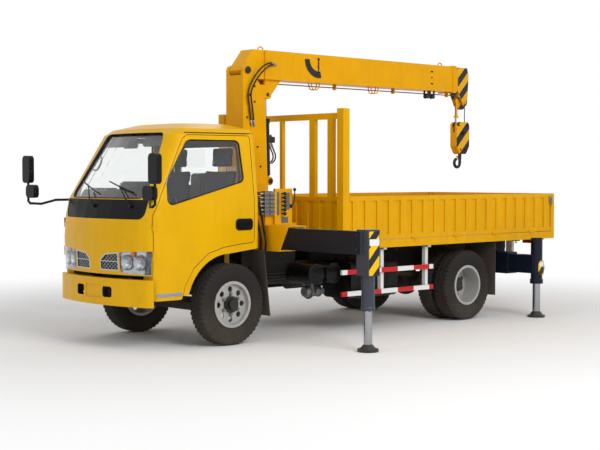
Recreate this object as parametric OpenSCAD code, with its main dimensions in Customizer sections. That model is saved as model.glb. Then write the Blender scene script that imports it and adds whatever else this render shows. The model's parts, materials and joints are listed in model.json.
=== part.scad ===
// Light truck with a cargo bed and a telescopic crane behind its cab.
// Lengths are in millimetres. X runs forward, Y to the left and Z up from the ground.
// Heights are over the ground, places along the truck are ahead of or
// and places across it are from the truck's middle.

/* [Axles] */
// Distance between the axles
wheelbase = 3308; // [3200:4:3420]
// Distance between the middles of the front tyres
front_track = 1446; // [1430:2:1470]
// Distance between the middles of the rear twin wheels
rear_track = 1456; // [1440:2:1480]
// Distance between the two tyres of a twin
twin_pitch = 232; // [226:2:240]
// Distance of a king pin inside its wheel's middle
king_inset = 103; // [95:1:108]
// Diameter of a king pin
king_pin_d = 34; // [28:1:38]
// Height of a king pin
king_pin_h = 176; // [168:2:190]
// Diameter of the eye around a king pin
king_eye_d = 72; // [66:1:80]
// Height of that eye
king_eye_h = 90; // [80:2:100]
// Height of a knuckle's lug
knuckle_lug_h = 30; // [24:1:36]
// Thickness of a knuckle's web
knuckle_web = 34; // [28:1:40]
// Diameter of a wheel spindle
spindle_d = 60; // [52:1:66]
// Height of the front beam
beam_h = 70; // [60:2:78]
// Width of the front beam
beam_w = 64; // [56:2:72]
// Drop of the front beam between the springs
beam_drop = 62; // [50:2:70]
// Distance between the springs
spring_track = 640; // [620:4:660]
// Width of a leaf spring
spring_w = 60; // [50:2:66]
// Height of a leaf spring pack at its middle
spring_pack = 64; // [56:2:72]
// Length of a front spring
front_spring_l = 1120; // [1060:10:1160]
// Length of a rear spring
rear_spring_l = 1240; // [1180:10:1280]
// Height of a spring's end hanger
hanger_l = 90; // [80:2:100]
// Diameter of the rear axle tube
axle_tube_d = 120; // [110:2:130]
// Diameter of the differential housing
diff_d = 330; // [310:5:350]

/* [Wheels] */
// Outer diameter of a tyre
tyre_d = 775; // [765:1:785]
// Width of a tyre
tyre_w = 200; // [192:2:208]
// Diameter of the rim's tyre seat
seat_d = 406; // [400:1:412]
// Width over a rim's flanges
rim_w = 176; // [170:1:180]
// Height of a rim's flange
flange_h = 18; // [14:1:20]
// Thickness of a rim's flange
flange_t = 8; // [6:1:9]
// Thickness of a rim's wall
rim_wall = 9; // [7:1:12]
// Thickness of a wheel disc
disc_t = 12; // [9:1:14]
// Step of the front disc outside the tyre's middle
disc_out = 34; // [28:1:40]
// Diameter of a hub
hub_d = 156; // [140:2:168]
// Diameter of a hub cap
cap_d = 104; // [96:2:120]
// Reach of a hub cap outside its disc
cap_l = 62; // [52:2:72]
// Reach of a rear hub cap outside its disc
rear_cap_l = 87; // [78:1:96]
// Diameter of a brake drum
drum_d = 340; // [320:2:350]
// Length of a brake drum
drum_l = 120; // [100:2:130]
// Diameter of a hand hole in a disc
hand_hole_d = 54; // [46:2:60]
// Diameter of the ring of hand holes
hand_ring_d = 286; // [276:2:296]
// Number of hand holes
hand_holes = 8; // [6:1:10]

/* [Frame] */
// Width over the frame rails
frame_w = 700; // [690:2:710]
// Height of a rail
rail_h = 160; // [150:2:166]
// Width of a rail's flange
rail_flange = 60; // [54:2:66]
// Thickness of a rail's plate
rail_t = 8; // [6:1:10]
// Top of the frame
frame_top = 720; // [716:1:726]
// Front end of the rails
frame_nose = 830; // [800:5:850]
// Rear end of the rails
frame_tail = 4720; // [4680:5:4760]
// Length of a cross member
member_l = 72; // [60:2:80]
// Height of a cross member
member_h = 92; // [80:2:100]

/* [Engine and drive] */
// Length of the engine block
engine_l = 720; // [690:5:740]
// Width of the engine block
engine_w = 480; // [440:5:500]
// Underside of the engine block
engine_z = 446; // [442:1:456]
// Height of the engine block
engine_h = 410; // [380:5:420]
// Front of the engine block
engine_nose = 378; // [370:2:384]
// Length of the gearbox
gearbox_l = 640; // [600:10:680]
// Width of the gearbox
gearbox_w = 290; // [260:5:310]
// Height of the gearbox
gearbox_h = 300; // [270:5:320]
// Diameter of the propeller shaft
shaft_d = 76; // [66:2:84]
// Height of the propeller shaft's front end
shaft_z = 520; // [510:2:530]
// Diameter of the shaft's joints
shaft_joint_d = 110; // [100:2:120]
// Diameter of the silencer
silencer_d = 180; // [160:5:190]
// Length of the silencer
silencer_l = 620; // [560:10:680]
// Diameter of the exhaust pipe
exhaust_d = 54; // [46:2:60]

/* [Tanks] */
// Diameter of an air tank
air_tank_d = 212; // [200:2:220]
// Length of an air tank
air_tank_l = 340; // [310:5:350]
// Height of the air tanks' middles
air_tank_z = 606; // [600:2:612]
// First air tank
air_tank_x = 1190; // [1180:2:1200]
// Distance between the air tanks
air_tank_pitch = 248; // [242:2:254]
// Front of the fuel tank
fuel_x = 1580; // [1570:2:1600]
// Length of the fuel tank
fuel_l = 700; // [640:10:740]
// Width of the fuel tank
fuel_w = 430; // [400:5:440]
// Height of the fuel tank
fuel_h = 380; // [350:5:390]
// Underside of the fuel tank
fuel_z = 336; // [330:2:350]
// Corner radius of the fuel tank
fuel_r = 70; // [50:2:80]
// Width of a tank strap
strap_w = 50; // [40:2:60]
// Thickness of a tank strap
strap_t = 6; // [4:1:8]
// Length of the battery box
battery_l = 450; // [420:5:480]
// Height of the battery box
battery_h = 300; // [280:5:310]

/* [Guards] */
// Half width of the side guards
guard_y = 930; // [924:1:940]
// Height of a guard bar
guard_bar_h = 48; // [42:1:54]
// Thickness of a guard bar
guard_bar_t = 26; // [22:1:30]
// Middle of the upper guard bar
guard_high = 625; // [618:1:632]
// Middle of the lower guard bar
guard_low = 404; // [396:1:412]
// Front end of the guard bars
guard_nose = 1340; // [1330:2:1350]
// Length of the guard bars
guard_l = 1390; // [1360:5:1400]
// Width of a guard post
guard_post = 44; // [38:1:50]
// Half width of the rear bar
underrun_w = 860; // [820:5:880]
// Height of the rear bar
underrun_h = 100; // [90:2:110]
// Underside of the rear bar
underrun_z = 440; // [430:2:450]
// Thickness of a mud flap
flap_t = 9; // [7:1:12]
// Lower edge of a mud flap
flap_z = 246; // [236:2:256]
// Width of a rear mud flap
rear_flap_w = 440; // [420:5:450]
// Width of a front mud flap
front_flap_w = 210; // [190:2:220]
// Distance of a rear mud flap behind its axle
rear_flap_x = 468; // [450:2:480]

/* [Cab] */
// Reach of the cab's nose
cab_nose = 1016; // [1006:2:1026]
// Rear wall of the cab
cab_back = 385; // [380:1:392]
// Width of the cab
cab_w = 1540; // [1526:2:1552]
// Top of the roof
cab_top = 2112; // [2100:2:2124]
// Thickness of the cab's walls
cab_wall = 46; // [40:1:50]
// Corner radius of the cab in plan
cab_corner_r = 112; // [100:2:120]
// Corner radius at the rear wall
cab_rear_r = 60; // [54:2:66]
// Radius of the wheel arch
arch_r = 480; // [474:1:486]
// Rise of the cab's lower edge behind the arch
arch_rise = 46; // [40:1:50]
// Underside of the deck under the seats
deck_z = 926; // [922:1:930]
// Underside of the foot well's floor
foot_z = 734; // [732:1:740]
// Lower edge of the front panel
front_panel_z = 694; // [690:1:700]
// Length of a door
door_l = 1172; // [1164:2:1178]
// Height of a door
door_h = 1532; // [1526:2:1538]
// Lower edge of a door
door_z = 458; // [454:1:464]
// Front edge of a door
door_nose = 862; // [858:1:866]
// Gap around a door
door_gap = 6; // [5:0.5:7]
// Corner radius of a door
door_r = 64; // [54:2:70]
// Diameter of a door's hinge pin
door_pin_d = 10; // [9:0.5:11]
// Middle of a door's hinge pins
door_pin_y = 730; // [728:0.5:732]
// Length of a door's hinge barrel
door_hinge_l = 46; // [40:1:52]
// Length of a door window
window_l = 925; // [919:2:931]
// Height of a door window
window_h = 628; // [620:2:634]
// Lower edge of a door window
window_z = 1316; // [1312:1:1322]
// Rear edge of a door window
window_back = 205; // [201:1:209]
// Thickness of a window pane
glass_t = 8; // [6:1:9]
// Depth of a pane under the cab's skin
glass_depth = 14; // [12:1:18]
// Width of the windscreen's lower edge
screen_w = 1230; // [1210:2:1250]
// Lower edge of the windscreen
screen_z = 1392; // [1386:1:1398]
// Height of the windscreen
screen_h = 618; // [610:2:624]
// Width of the rear window
rear_window_w = 980; // [940:5:1000]
// Height of the rear window
rear_window_h = 400; // [380:5:420]
// Lower edge of the rear window
rear_window_z = 1500; // [1480:5:1520]
// Corner radius of the windscreen and rear window
screen_r = 70; // [60:2:80]
// Width of the cowl panel
cowl_w = 1300; // [1280:2:1320]
// Lower edge of the cowl panel
cowl_z = 1206; // [1200:1:1212]
// Gap from the cowl panel to the windscreen
cowl_gap = 6; // [4:1:8]
// Thickness of the cowl panel
cowl_t = 14; // [11:1:16]
// Depth of the front lamps and grilles
lamp_depth = 34; // [28:1:38]
// Lower edge of the front lamps
lamp_z = 700; // [697:1:706]
// Height of the front lamps
lamp_h = 225; // [216:1:230]
// Inner end of a lamp
lamp_in = 352; // [346:1:358]
// Outer end of a lamp
lamp_out = 800; // [790:1:810]
// Inner end of a grille
grille_in = 84; // [78:1:90]
// Height of a grille
grille_h = 172; // [164:1:178]
// Lower edge of a grille
grille_z = 730; // [726:1:736]
// Width of a grille's frame
grille_frame = 12; // [9:1:15]
// Number of bars in a grille
grille_bars = 1; // [1:1:3]
// Thickness of a grille bar
grille_bar_t = 8; // [6:1:10]

/* [Bumper] */
// Reach of the bumper
bumper_nose = 1034; // [1028:1:1040]
// Width of the bumper
bumper_w = 1500; // [1480:2:1516]
// Set-back of the bumper's corners
bumper_bow = 130; // [120:2:140]
// Thickness of the bumper
bumper_t = 62; // [54:1:68]
// Lower edge of the bumper
bumper_z = 408; // [402:1:414]
// Height of the bumper
bumper_h = 250; // [242:1:256]
// Rear end of the bumper's corners
bumper_back = 870; // [868:1:876]
// Radius of the bumper's corners
bumper_r = 120; // [110:2:126]
// Width of a bumper slot
bumper_slot_w = 130; // [120:2:136]
// Height of a bumper slot
bumper_slot_h = 100; // [90:2:106]
// Middle of a bumper slot
bumper_slot_y = 216; // [210:2:222]
// Depth of the plate recess
plate_depth = 12; // [9:1:15]
// Width of the plate recess
plate_w = 240; // [220:2:250]
// Height of the plate recess
plate_h = 120; // [110:2:130]

/* [Mirrors] */
// Middle of a mirror head
mirror_y = 1045; // [1035:1:1050]
// Front of a mirror head
mirror_nose = 1110; // [1104:1:1116]
// Width of a mirror head
mirror_w = 126; // [116:2:136]
// Depth of a mirror head
mirror_t = 58; // [50:2:66]
// Height of a mirror head
mirror_h = 270; // [260:2:280]
// Lower edge of a mirror head
mirror_z = 1532; // [1526:1:1540]
// Width of the lower mirror head
wide_mirror_w = 150; // [140:2:160]
// Height of the lower mirror head
wide_mirror_h = 130; // [120:2:140]
// Gap between the two mirror heads
mirror_gap = 16; // [12:1:20]
// Corner radius of a mirror head
mirror_r = 42; // [34:1:46]
// Dip of a mirror arm under its root
mirror_dip = 44; // [36:2:52]
// Diameter of a mirror arm
mirror_arm_d = 24; // [20:1:28]

/* [Seats] */
// Width of a seat
seat_w = 480; // [450:5:500]
// Length of a seat's cushion
cushion_l = 460; // [440:5:480]
// Height of a seat's cushion
cushion_h = 150; // [130:5:160]
// Height of a seat's back
seat_back_h = 560; // [520:5:580]
// Thickness of a seat's back
seat_back_t = 110; // [96:2:120]
// Middle of a seat
seat_y = 360; // [350:2:370]
// Depth of the dashboard
dash_l = 210; // [190:5:220]
// Half width of the dashboard
dash_y = 620; // [600:2:630]
// Height of the dashboard
dash_h = 280; // [260:5:290]
// Top of the dashboard
dash_top = 1300; // [1290:2:1310]
// Diameter of the steering wheel
helm_d = 420; // [400:5:430]
// Thickness of the steering wheel's rim
helm_t = 30; // [26:1:34]
// Number of spokes of the steering wheel
helm_spokes = 3; // [2:1:4]
// Diameter of the steering column
helm_post_d = 52; // [44:2:60]
// Length of the steering column
helm_reach = 315; // [300:5:330]
// Lean of the steering column
helm_lean = 28; // [24:1:34]

/* [Bed] */
// Front of the bed
bed_nose = 1391; // [1386:1:1400]
// Rear end of the bed
bed_tail = 4846; // [4830:2:4860]
// Width of the bed
bed_w = 1960; // [1940:2:1980]
// Top of the bed's floor
floor_z = 945; // [942:1:950]
// Thickness of the bed's floor
floor_t = 30; // [24:1:36]
// Height of the rail around the floor
edge_h = 84; // [76:1:90]
// Width of the rail around the floor
edge_w = 60; // [50:2:66]
// Height of a cross bearer
bearer_h = 70; // [64:1:74]
// Width of a cross bearer
bearer_w = 60; // [52:2:66]
// Number of cross bearers
bearers = 8; // [7:1:9]
// Height of a side board
board_h = 448; // [440:1:456]
// Thickness of a side board's plate
board_t = 24; // [20:1:28]
// Depth of a side board's ribs
rib_depth = 14; // [11:1:17]
// Width of a rib
rib_w = 96; // [84:2:104]
// Number of ribs on a side board
side_ribs = 19; // [15:2:21]
// Number of ribs on the tail board
tail_ribs = 9; // [7:2:11]
// Height of a board's top and bottom rails
board_rail = 46; // [40:1:52]
// Length of a rear corner post
corner_l = 62; // [56:1:68]
// Gap around a board
board_gap = 6; // [5:0.5:8]
// Diameter of a board's hinge barrel
board_hinge_d = 18; // [14:1:20]
// Length of a hinge barrel
board_hinge_l = 90; // [70:5:110]
// Hinge axis outside a board's face
board_hinge_y = 10; // [10:0.5:12]
// Number of hinges on a side board
side_hinges = 5; // [4:1:6]
// Number of hinges on the tail board
tail_hinges = 3; // [2:1:4]

/* [Head frame] */
// Width of a head frame post
post_w = 90; // [80:2:96]
// Top of the head frame
head_top = 2280; // [2260:2:2300]
// Height of the head frame's top bar
head_bar_h = 62; // [54:2:70]
// Drop of the top bar under the posts' ends
head_bar_drop = 40; // [30:2:50]
// Width of an upright bar
upright_w = 82; // [74:2:90]
// Depth of the upright bars
upright_t = 42; // [36:2:48]
// Inner upright bar
upright_in = 476; // [466:2:486]
// Outer upright bar
upright_out = 744; // [734:2:754]
// Top of the head frame's panel
panel_top = 1390; // [1380:2:1400]
// Number of ribs on the panel
panel_ribs = 9; // [7:2:11]

/* [Crane base] */
// Middle of the front legs
leg_x = 624; // [620:1:628]
// Middle of the front legs
leg_y = 1980; // [1970:2:1990]
// Width of a front beam
jack_beam_w = 100; // [92:1:104]
// Underside of the front beams
jack_beam_z = 890; // [886:1:894]
// Height of a front beam
jack_beam_h = 211; // [206:1:216]
// Inner end of a front beam
jack_beam_in = 600; // [580:5:620]
// Wall of the cross box
box_wall = 14; // [11:1:16]
// Half length of the cross box at its lower edge
box_low = 900; // [890:2:910]
// Half length of the cross box at its upper edge
box_high = 1030; // [1020:2:1036]
// Sliding gap around a beam
slide_gap = 5; // [4:0.5:6]
// Slewing axis
slew_x = 880; // [876:1:884]
// Width of the base frame
base_w = 740; // [720:2:760]
// Rear end of the base frame
base_tail = 1226; // [1220:1:1236]
// Thickness of the base frame's plates
base_t = 20; // [16:1:24]
// Diameter of the pedestal
pedestal_d = 350; // [330:2:364]
// Diameter of the slewing ring
ring_d = 430; // [416:2:440]
// Height of the slewing ring
ring_h = 46; // [40:1:50]
// Top of the slewing ring
ring_z = 1486; // [1482:1:1490]
// Number of ribs around the pedestal
pedestal_ribs = 8; // [6:1:10]

/* [Jacks] */
// Width of a front leg's housing
leg_w = 150; // [140:2:156]
// Underside of a front leg's housing
leg_z = 695; // [688:1:702]
// Top of a front leg's housing
leg_top = 1116; // [1110:1:1120]
// Diameter of a front leg's barrel
leg_d = 124; // [118:1:130]
// Lower end of a front leg's barrel
leg_low = 382; // [378:1:388]
// Diameter of a front leg's rod
leg_rod_d = 80; // [72:1:86]
// Diameter of a foot
foot_d = 196; // [186:2:206]
// Height of a foot
foot_h = 26; // [22:1:30]
// Height of a foot's neck
foot_neck = 42; // [36:1:46]
// Middle of the rear legs
rear_leg_x = 4098; // [4090:2:4106]
// Middle of the rear legs
rear_leg_y = 1284; // [1278:2:1290]
// Diameter of a rear leg's barrel
rear_leg_d = 132; // [126:1:138]
// Top of a rear leg
rear_leg_top = 900; // [896:1:904]
// Lower end of a rear leg's barrel
rear_leg_low = 388; // [382:1:394]
// Diameter of a rear leg's rod
rear_rod_d = 88; // [82:1:94]
// Width of a rear beam
rear_beam_w = 140; // [130:2:148]
// Underside of a rear beam
rear_beam_z = 498; // [494:1:504]
// Height of a rear beam
rear_beam_h = 206; // [200:1:210]
// Inner end of a rear beam
rear_beam_in = 600; // [590:2:610]
// Outer end of a rear beam's box
rear_box_out = 940; // [930:2:950]

/* [Controls] */
// Outer face of a control panel
station_y = 620; // [612:1:628]
// Front edge of a control panel
station_x = 704; // [700:1:710]
// Length of a control panel
station_l = 232; // [222:2:240]
// Top of a control panel
station_top = 1476; // [1470:1:1480]
// Thickness of a control panel
station_t = 22; // [18:1:26]
// Width of a valve section
valve_w = 116; // [104:2:124]
// Height of a valve section
valve_h = 30; // [26:1:33]
// Length of the valve bank
valve_l = 132; // [124:2:138]
// Lowest valve section
valve_z = 1212; // [1206:1:1218]
// Distance between valve sections
valve_pitch = 40; // [36:1:42]
// Number of valve sections
valves = 6; // [5:1:6]
// Diameter of a control knob
knob_d = 38; // [32:1:42]
// Length of a control lever
lever_l = 46; // [40:1:54]

/* [Column] */
// Half width of the column
column_y = 134; // [128:1:138]
// Front face of the column
column_nose = 708; // [704:1:712]
// Rear face at the column's foot
column_foot = 1040; // [1036:1:1044]
// Rear face at the column's head
column_head = 1005; // [1000:1:1010]
// Top of the column's box
column_top = 2540; // [2530:1:2550]
// Top of the column's front plate
front_plate_top = 2630; // [2620:1:2636]
// Thickness of the front plate
front_plate_t = 16; // [12:1:20]
// Thickness of a cheek
cheek_t = 34; // [30:1:36]
// Radius of a cheek around the boom's pin
cheek_r = 56; // [50:1:60]
// Height of the column's foot flange
column_flange = 40; // [34:1:46]
// Boom pin
pin_x = 764; // [760:1:768]
// Boom pin
pin_z = 2680; // [2674:1:2684]
// Diameter of the boom pin
pin_d = 60; // [54:1:64]
// Reach of the boom pin outside a cheek
pin_out = 14; // [10:1:18]
// Lower cylinder pin
low_pin_x = 1124; // [1120:1:1128]
// Lower cylinder pin
low_pin_z = 1549; // [1545:1:1553]
// Diameter of the cylinder pins
ram_pin_d = 44; // [40:1:48]
// Radius of a lug around a cylinder pin
lug_r = 46; // [42:1:48]
// Thickness of a lug
lug_t = 28; // [24:1:30]
// Half gap between a pair of lugs
lug_gap = 46; // [44:1:48]

/* [Boom] */
// Width of the boom's outer section
boom_w = 220; // [214:1:226]
// Height of the boom's outer section
boom_h = 300; // [294:1:306]
// Underside of the boom
boom_z = 2600; // [2596:1:2604]
// Wall of the boom's outer section
boom_wall = 14; // [12:1:16]
// Start of the boom's full width
boom_root = 1030; // [1026:1:1036]
// Mouth of the outer section
boom_mouth = 4065; // [4055:1:4075]
// Half width of the boom's root
root_y = 94; // [90:1:95]
// Radius of the root around the boom pin
root_r = 48; // [44:1:50]
// Wall of the inner sections
inner_wall = 11; // [9:1:12]
// Running gap around an inner section
boom_gap = 5; // [4.5:0.5:6]
// Length of the wear pads
pad_l = 90; // [70:5:110]
// Width of the wear pads
pad_w = 50; // [40:2:56]
// Reach of the middle section outside the outer one
mid_reach = 40; // [34:1:46]
// Width of the collar on a section's mouth
collar_l = 60; // [50:2:70]
// Depth of the collar on a section's mouth
collar_t = 10; // [8:1:12]
// Start of the inner sections
inner_root = 1160; // [1150:5:1180]
// Reach of the head pin past the innermost mouth
head_reach = 130; // [125:1:135]
// Head pin
head_z = 2480; // [2476:1:2484]
// Length of the boom's head
head_l = 199; // [195:1:203]
// Thickness of a head plate
head_t = 12; // [10:1:14]
// Diameter of the head sheave
sheave_d = 160; // [154:1:164]
// Width of the head sheave
sheave_w = 44; // [38:1:50]
// Diameter of the head pin
head_pin_d = 40; // [36:1:44]
// Upper cylinder pin
high_pin_x = 1100; // [1096:1:1104]
// Upper cylinder pin
high_pin_z = 2445; // [2441:1:2449]
// Number of rope guides under the boom
rope_guides = 3; // [2:1:4]
// Diameter of the hoist rope
rope_d = 12; // [10:1:14]
// Width of a rope guide
guide_w = 46; // [40:1:50]
// Thickness of a rope guide
guide_t = 14; // [11:1:17]

/* [Cylinder] */
// Diameter of the lifting cylinder's barrel
barrel_d = 112; // [106:1:116]
// Length of the barrel from its pin
barrel_l = 650; // [640:2:660]
// Diameter of the barrel's gland
gland_d = 124; // [118:1:126]
// Length of the gland
gland_l = 50; // [42:1:56]
// Diameter of the lifting rod
lift_rod_d = 64; // [58:1:68]
// Lower end of the rod from the lower pin
rod_start = 104; // [98:1:110]
// Half width of a cylinder eye
eye_half = 41; // [38:1:42]

/* [Hook] */
// Length of the hook block
block_l = 236; // [228:1:242]
// Width of the hook block
block_w = 100; // [92:1:108]
// Height of the hook block
block_h = 386; // [376:1:392]
// Top of the hook block
block_top = 2251; // [2246:1:2256]
// Corner radius of the hook block
block_r = 46; // [38:1:52]
// Width of the block's rope slot
block_slot = 34; // [28:1:38]
// Diameter of the hook's shank
shank_d = 44; // [38:1:48]
// Length of the shank under the block
shank_l = 40; // [34:1:46]
// Bend radius of the hook's middle line
hook_bend = 50; // [46:1:54]
// Thickness of the hook
hook_t = 36; // [32:1:40]

/* [Hidden] */
// Smoothness of round shapes
$fn = 48;
// Small seat left between separate pieces
seat = 0.3;
// Running gap of a pin in its bore
run = 1.2;
// Clear gap beside a moving joint
clear = 2.4;
// Overrun of a cut past the surface that it leaves
over = 40;
// Steps of a rounded corner
arc_steps = 5;
// Long reach for cuts right across the truck
far = 6000;
// Height of the wheel centres
axle_z = tyre_d / 2;
// Rear axle in front axle coordinates
rear_x = -wheelbase;
// Shift that puts the truck's middle over the origin
front_axle_x = (bed_tail + rib_depth + board_hinge_y + board_hinge_d / 2 - mirror_nose) / 2;
// Half sizes used all over
frame_y = frame_w / 2;
frame_low = frame_top - rail_h;
bed_y = bed_w / 2;
king_y = front_track / 2 - king_inset;
spring_y = spring_track / 2;
door_back = door_nose - door_l;
door_pin_x = door_nose - clear;
lamp_x = door_nose + door_gap;
cowl_h = screen_z - cowl_z - cowl_gap;
edge_low = floor_z - edge_h;
bearer_low = floor_z - floor_t - bearer_h;
board_z = floor_z + board_gap;
box_x0 = -leg_x - jack_beam_w - box_wall - slide_gap * 2;
box_x1 = -leg_x + jack_beam_w + box_wall + slide_gap * 2;
box_z0 = jack_beam_z - slide_gap - box_wall;
box_z1 = jack_beam_z + jack_beam_h + slide_gap + box_wall;
boom_y = boom_w / 2;
boom_top = boom_z + boom_h;
mid_y = boom_y - boom_wall - boom_gap;
mid_h = boom_h - (boom_wall + boom_gap) * 2;
mid_z = boom_z + boom_wall + boom_gap;
tip_y = mid_y - inner_wall - boom_gap;
tip_h = mid_h - (inner_wall + boom_gap) * 2;
tip_z = mid_z + inner_wall + boom_gap;
mid_mouth = boom_mouth + mid_reach;
tip_mouth = mid_mouth + mid_reach;
head_x = tip_mouth + head_reach;
rope_z = head_z + sheave_d / 2 + rope_d / 2 + seat;
ram_len = norm([high_pin_x - low_pin_x, high_pin_z - low_pin_z]);
ram_lean = atan2(low_pin_x - high_pin_x, high_pin_z - low_pin_z);
deck_top = deck_z + cab_wall;

// Rings of the cab: height, nose, corner, corner width, side width, rear end, roof flag
cab_shares = [
  [0.2083, 0.978, 0.881, 0.938, 0.980, 0.000, 0],
  [0.3314, 0.991, 0.897, 0.948, 0.990, 0.000, 0],
  [0.4735, 1.000, 0.9065, 0.955, 0.997, 0.000, 0],
  [0.5777, 0.985, 0.894, 0.955, 1.000, 0.000, 0],
  [0.6534, 0.956, 0.871, 0.946, 0.997, 0.000, 0],
  [0.9450, 0.697, 0.628, 0.792, 0.909, 0.000, 1],
  [0.9706, 0.646, 0.575, 0.727, 0.857, 0.011, 1],
  [0.9943, 0.510, 0.453, 0.494, 0.623, 0.096, 1],
  [1.0000, 0.382, 0.346, 0.260, 0.364, 0.203, 1]
];
// Stations across the cab's bowed front
bow_shares = [-0.8, -0.55, -0.28, 0, 0.28, 0.55, 0.8];
// Door outline: length, height and corner radius
door_shares = [
  [1, 0, 0.5], [1, 0.510, 1], [0.926, 0.628, 1], [0.653, 0.977, 0.8], [0.600, 1, 0.6],
  [0.017, 1, 0.3], [0, 0.984, 0.3], [0, 0.330, 0.6], [0.162, 0.320, 1], [0.316, 0.306, 1],
  [0.473, 0.272, 1], [0.616, 0.187, 1], [0.698, 0.082, 1], [0.725, 0, 0.5]
];
// Door window outline: length, height and corner radius
window_shares = [
  [1, 0, 0.9], [0.968, 0.39, 1], [0.676, 0.975, 1], [0.62, 1, 0.5], [0.03, 1, 0.9], [0, 0.37, 0.9]
];
// Heights of the door hinges
hinge_shares = [0.24, 0.42];
door_hinge_zs = [for (s = hinge_shares) door_z + door_h * s];
// Place of the levers along a control panel
lever_share = 0.4;
// Reach of the bumper's brackets into its bow
bracket_share = 0.6;
// Taper of a foot's neck
neck_share = 0.4;
// Length of the boom head's roof
brow_share = 0.86;
// Spring pack's thickness at its ends
leaf_share = 0.3;
// Inner limit of a door, low and high, as parts of the cab's half width
zone_shares = [0.80, 0.70];
// Windscreen, cowl and rear window outlines: half width, height and corner radius
screen_shares = [[1, 0, 1], [0.74, 1, 1], [-0.74, 1, 1], [-1, 0, 1]];
cowl_shares = [[0.97, 0, 2.1], [1, 1, 0.3], [-1, 1, 0.3], [-0.97, 0, 2.1]];
rear_window_shares = [[1, 0, 1], [0.9, 1, 1], [-0.9, 1, 1], [-1, 0, 1]];
// Bends of a mirror arm: reach forward, reach outward and dip
arm_shares = [[0.5, 0.36, 0.1], [0.8, 0.66, 1], [1, 0.92, 0.9], [1, 1, 0.4]];
// Front lamp outline: length, height and corner radius
lamp_shares = [[0.03, 0.06, 0.4], [1, 0, 0.4], [1, 1, 0.4], [0, 0.90, 0.4]];
// Grille outline: length, height and corner radius
grille_shares = [[0, 0, 1], [1, 0, 0.5], [1, 1, 0.5], [0.3, 0.9, 1.8], [0, 0.57, 1.8]];
// Tyre section: height over the seat and half width
tyre_shares = [
  [0, 0.76], [0.12, 0.78], [0.3, 0.93], [0.5, 1], [0.7, 0.985], [0.86, 0.92], [0.95, 0.80], [0.99, 0.6]
];
// Spring outline: length and sag
spring_shares = [[-0.5, 0], [-0.36, 0.34], [-0.18, 0.78], [0, 1], [0.18, 0.78], [0.36, 0.34], [0.5, 0]];
// Boom head outline: length and height
head_shares = [
  [0, 1], [0, 0.40], [0.42, 0.10], [0.52, 0.01], [0.62, 0], [0.80, 0.02], [0.88, 0.10],
  [0.97, 0.55], [1, 0.82], [0.86, 1]
];
// Cross member places along the frame
member_shares = [0.02, 0.37, 0.52, 0.66, 0.84, 0.985];
// Hinge and strap places along their pieces
strap_shares = [0.2, 0.8];
post_shares = [0.44, 0.94];
// Valley of the hook's opening, as turns of its bend
hook_turn = 250;

// Sub-part to draw

// Vector of length one along v
function unit(v) = v / norm(v);

// Corner b of an outline between its neighbours a and c, rounded to radius r
function corner(a, b, c, r) =
  r <= 0 ? [b] :
  let (
    u = unit(a - b),
    w = unit(c - b),
    half = acos(max(-1, min(1, u * w))) / 2,
    mid = b + unit(u + w) * r / sin(half),
    from = b + u * r / tan(half) - mid,
    to = b + w * r / tan(half) - mid,
    start = atan2(from.y, from.x),
    turn = (atan2(to.y, to.x) - start + 540) % 360 - 180
  )
  [for (k = [0:arc_steps]) mid + r * [cos(start + turn * k / arc_steps), sin(start + turn * k / arc_steps)]];

// Outline of [x, y, radius] corners with every corner rounded
function rounded(pts) =
  let (n = len(pts))
  [for (i = [0:n - 1])
    let (a = pts[(i + n - 1) % n], b = pts[i], c = pts[(i + 1) % n])
    each corner([a.x, a.y], [b.x, b.y], [c.x, c.y], b.z)];

// Corner b moved inward by d from both of its edges
function inset_corner(a, b, c, d) =
  let (u = unit(b - a), w = unit(c - b), m = [-u.y, u.x], n = [-w.y, w.x])
  b + (m + n) * d / (1 + m * n);

// Anticlockwise outline of [x, y, radius] corners moved inward by d
function inset(pts, d) =
  let (n = len(pts))
  [for (i = [0:n - 1])
    let (
      a = [pts[(i + n - 1) % n].x, pts[(i + n - 1) % n].y],
      b = [pts[i].x, pts[i].y],
      c = [pts[(i + 1) % n].x, pts[(i + 1) % n].y],
      side = sign(cross(b - a, c - b)),
      p = inset_corner(a, b, c, d)
    )
    [p.x, p.y, max(0, pts[i].z - side * d)]];

// Ring of the cab's plan at one level, moved inward by d
function cab_ring(s, d) =
  let (
    l = cab_nose + cab_back,
    nose = s[1] * l - cab_back - d,
    cx = s[2] * l - cab_back - d,
    cy = s[3] * cab_w / 2 - d,
    sy = s[4] * cab_w / 2 - d,
    back = s[5] * l - cab_back + d,
    r = max(cab_corner_r - d, cab_corner_r / 4)
  )
  rounded(concat(
    [[back, -sy, max(cab_rear_r - d, cab_rear_r / 4)], [cx, -cy, r]],
    [for (b = bow_shares) [cx + (nose - cx) * (1 - b * b), b * cy, 0]],
    [[cx, cy, r], [back, sy, max(cab_rear_r - d, cab_rear_r / 4)]]
  ));

// Outlines of the cab's openings
function door_points() =
  [for (s = door_shares) [door_back + s.x * door_l, door_z + s.y * door_h, s.z * door_r]];
function window_points() =
  [for (s = window_shares) [s.x * window_l - window_back, window_z + s.y * window_h, s.z * door_r]];
function screen_points() =
  [for (s = screen_shares) [s.x * screen_w / 2, screen_z + s.y * screen_h, s.z * screen_r]];
function cowl_points() =
  [for (s = cowl_shares) [s.x * cowl_w / 2, cowl_z + s.y * cowl_h, s.z * screen_r / 2]];
function rear_window_points() =
  [for (s = rear_window_shares)
    [s.x * rear_window_w / 2, rear_window_z + s.y * rear_window_h, s.z * screen_r]];
function lamp_points() =
  [for (s = lamp_shares)
    [lamp_in + s.x * (lamp_out - lamp_in), lamp_z + s.y * lamp_h, s.z * cab_rear_r]];
function grille_points() =
  [for (s = grille_shares)
    [grille_in + s.x * (lamp_in - grille_frame - grille_in), grille_z + s.y * grille_h, s.z * grille_frame]];

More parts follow.
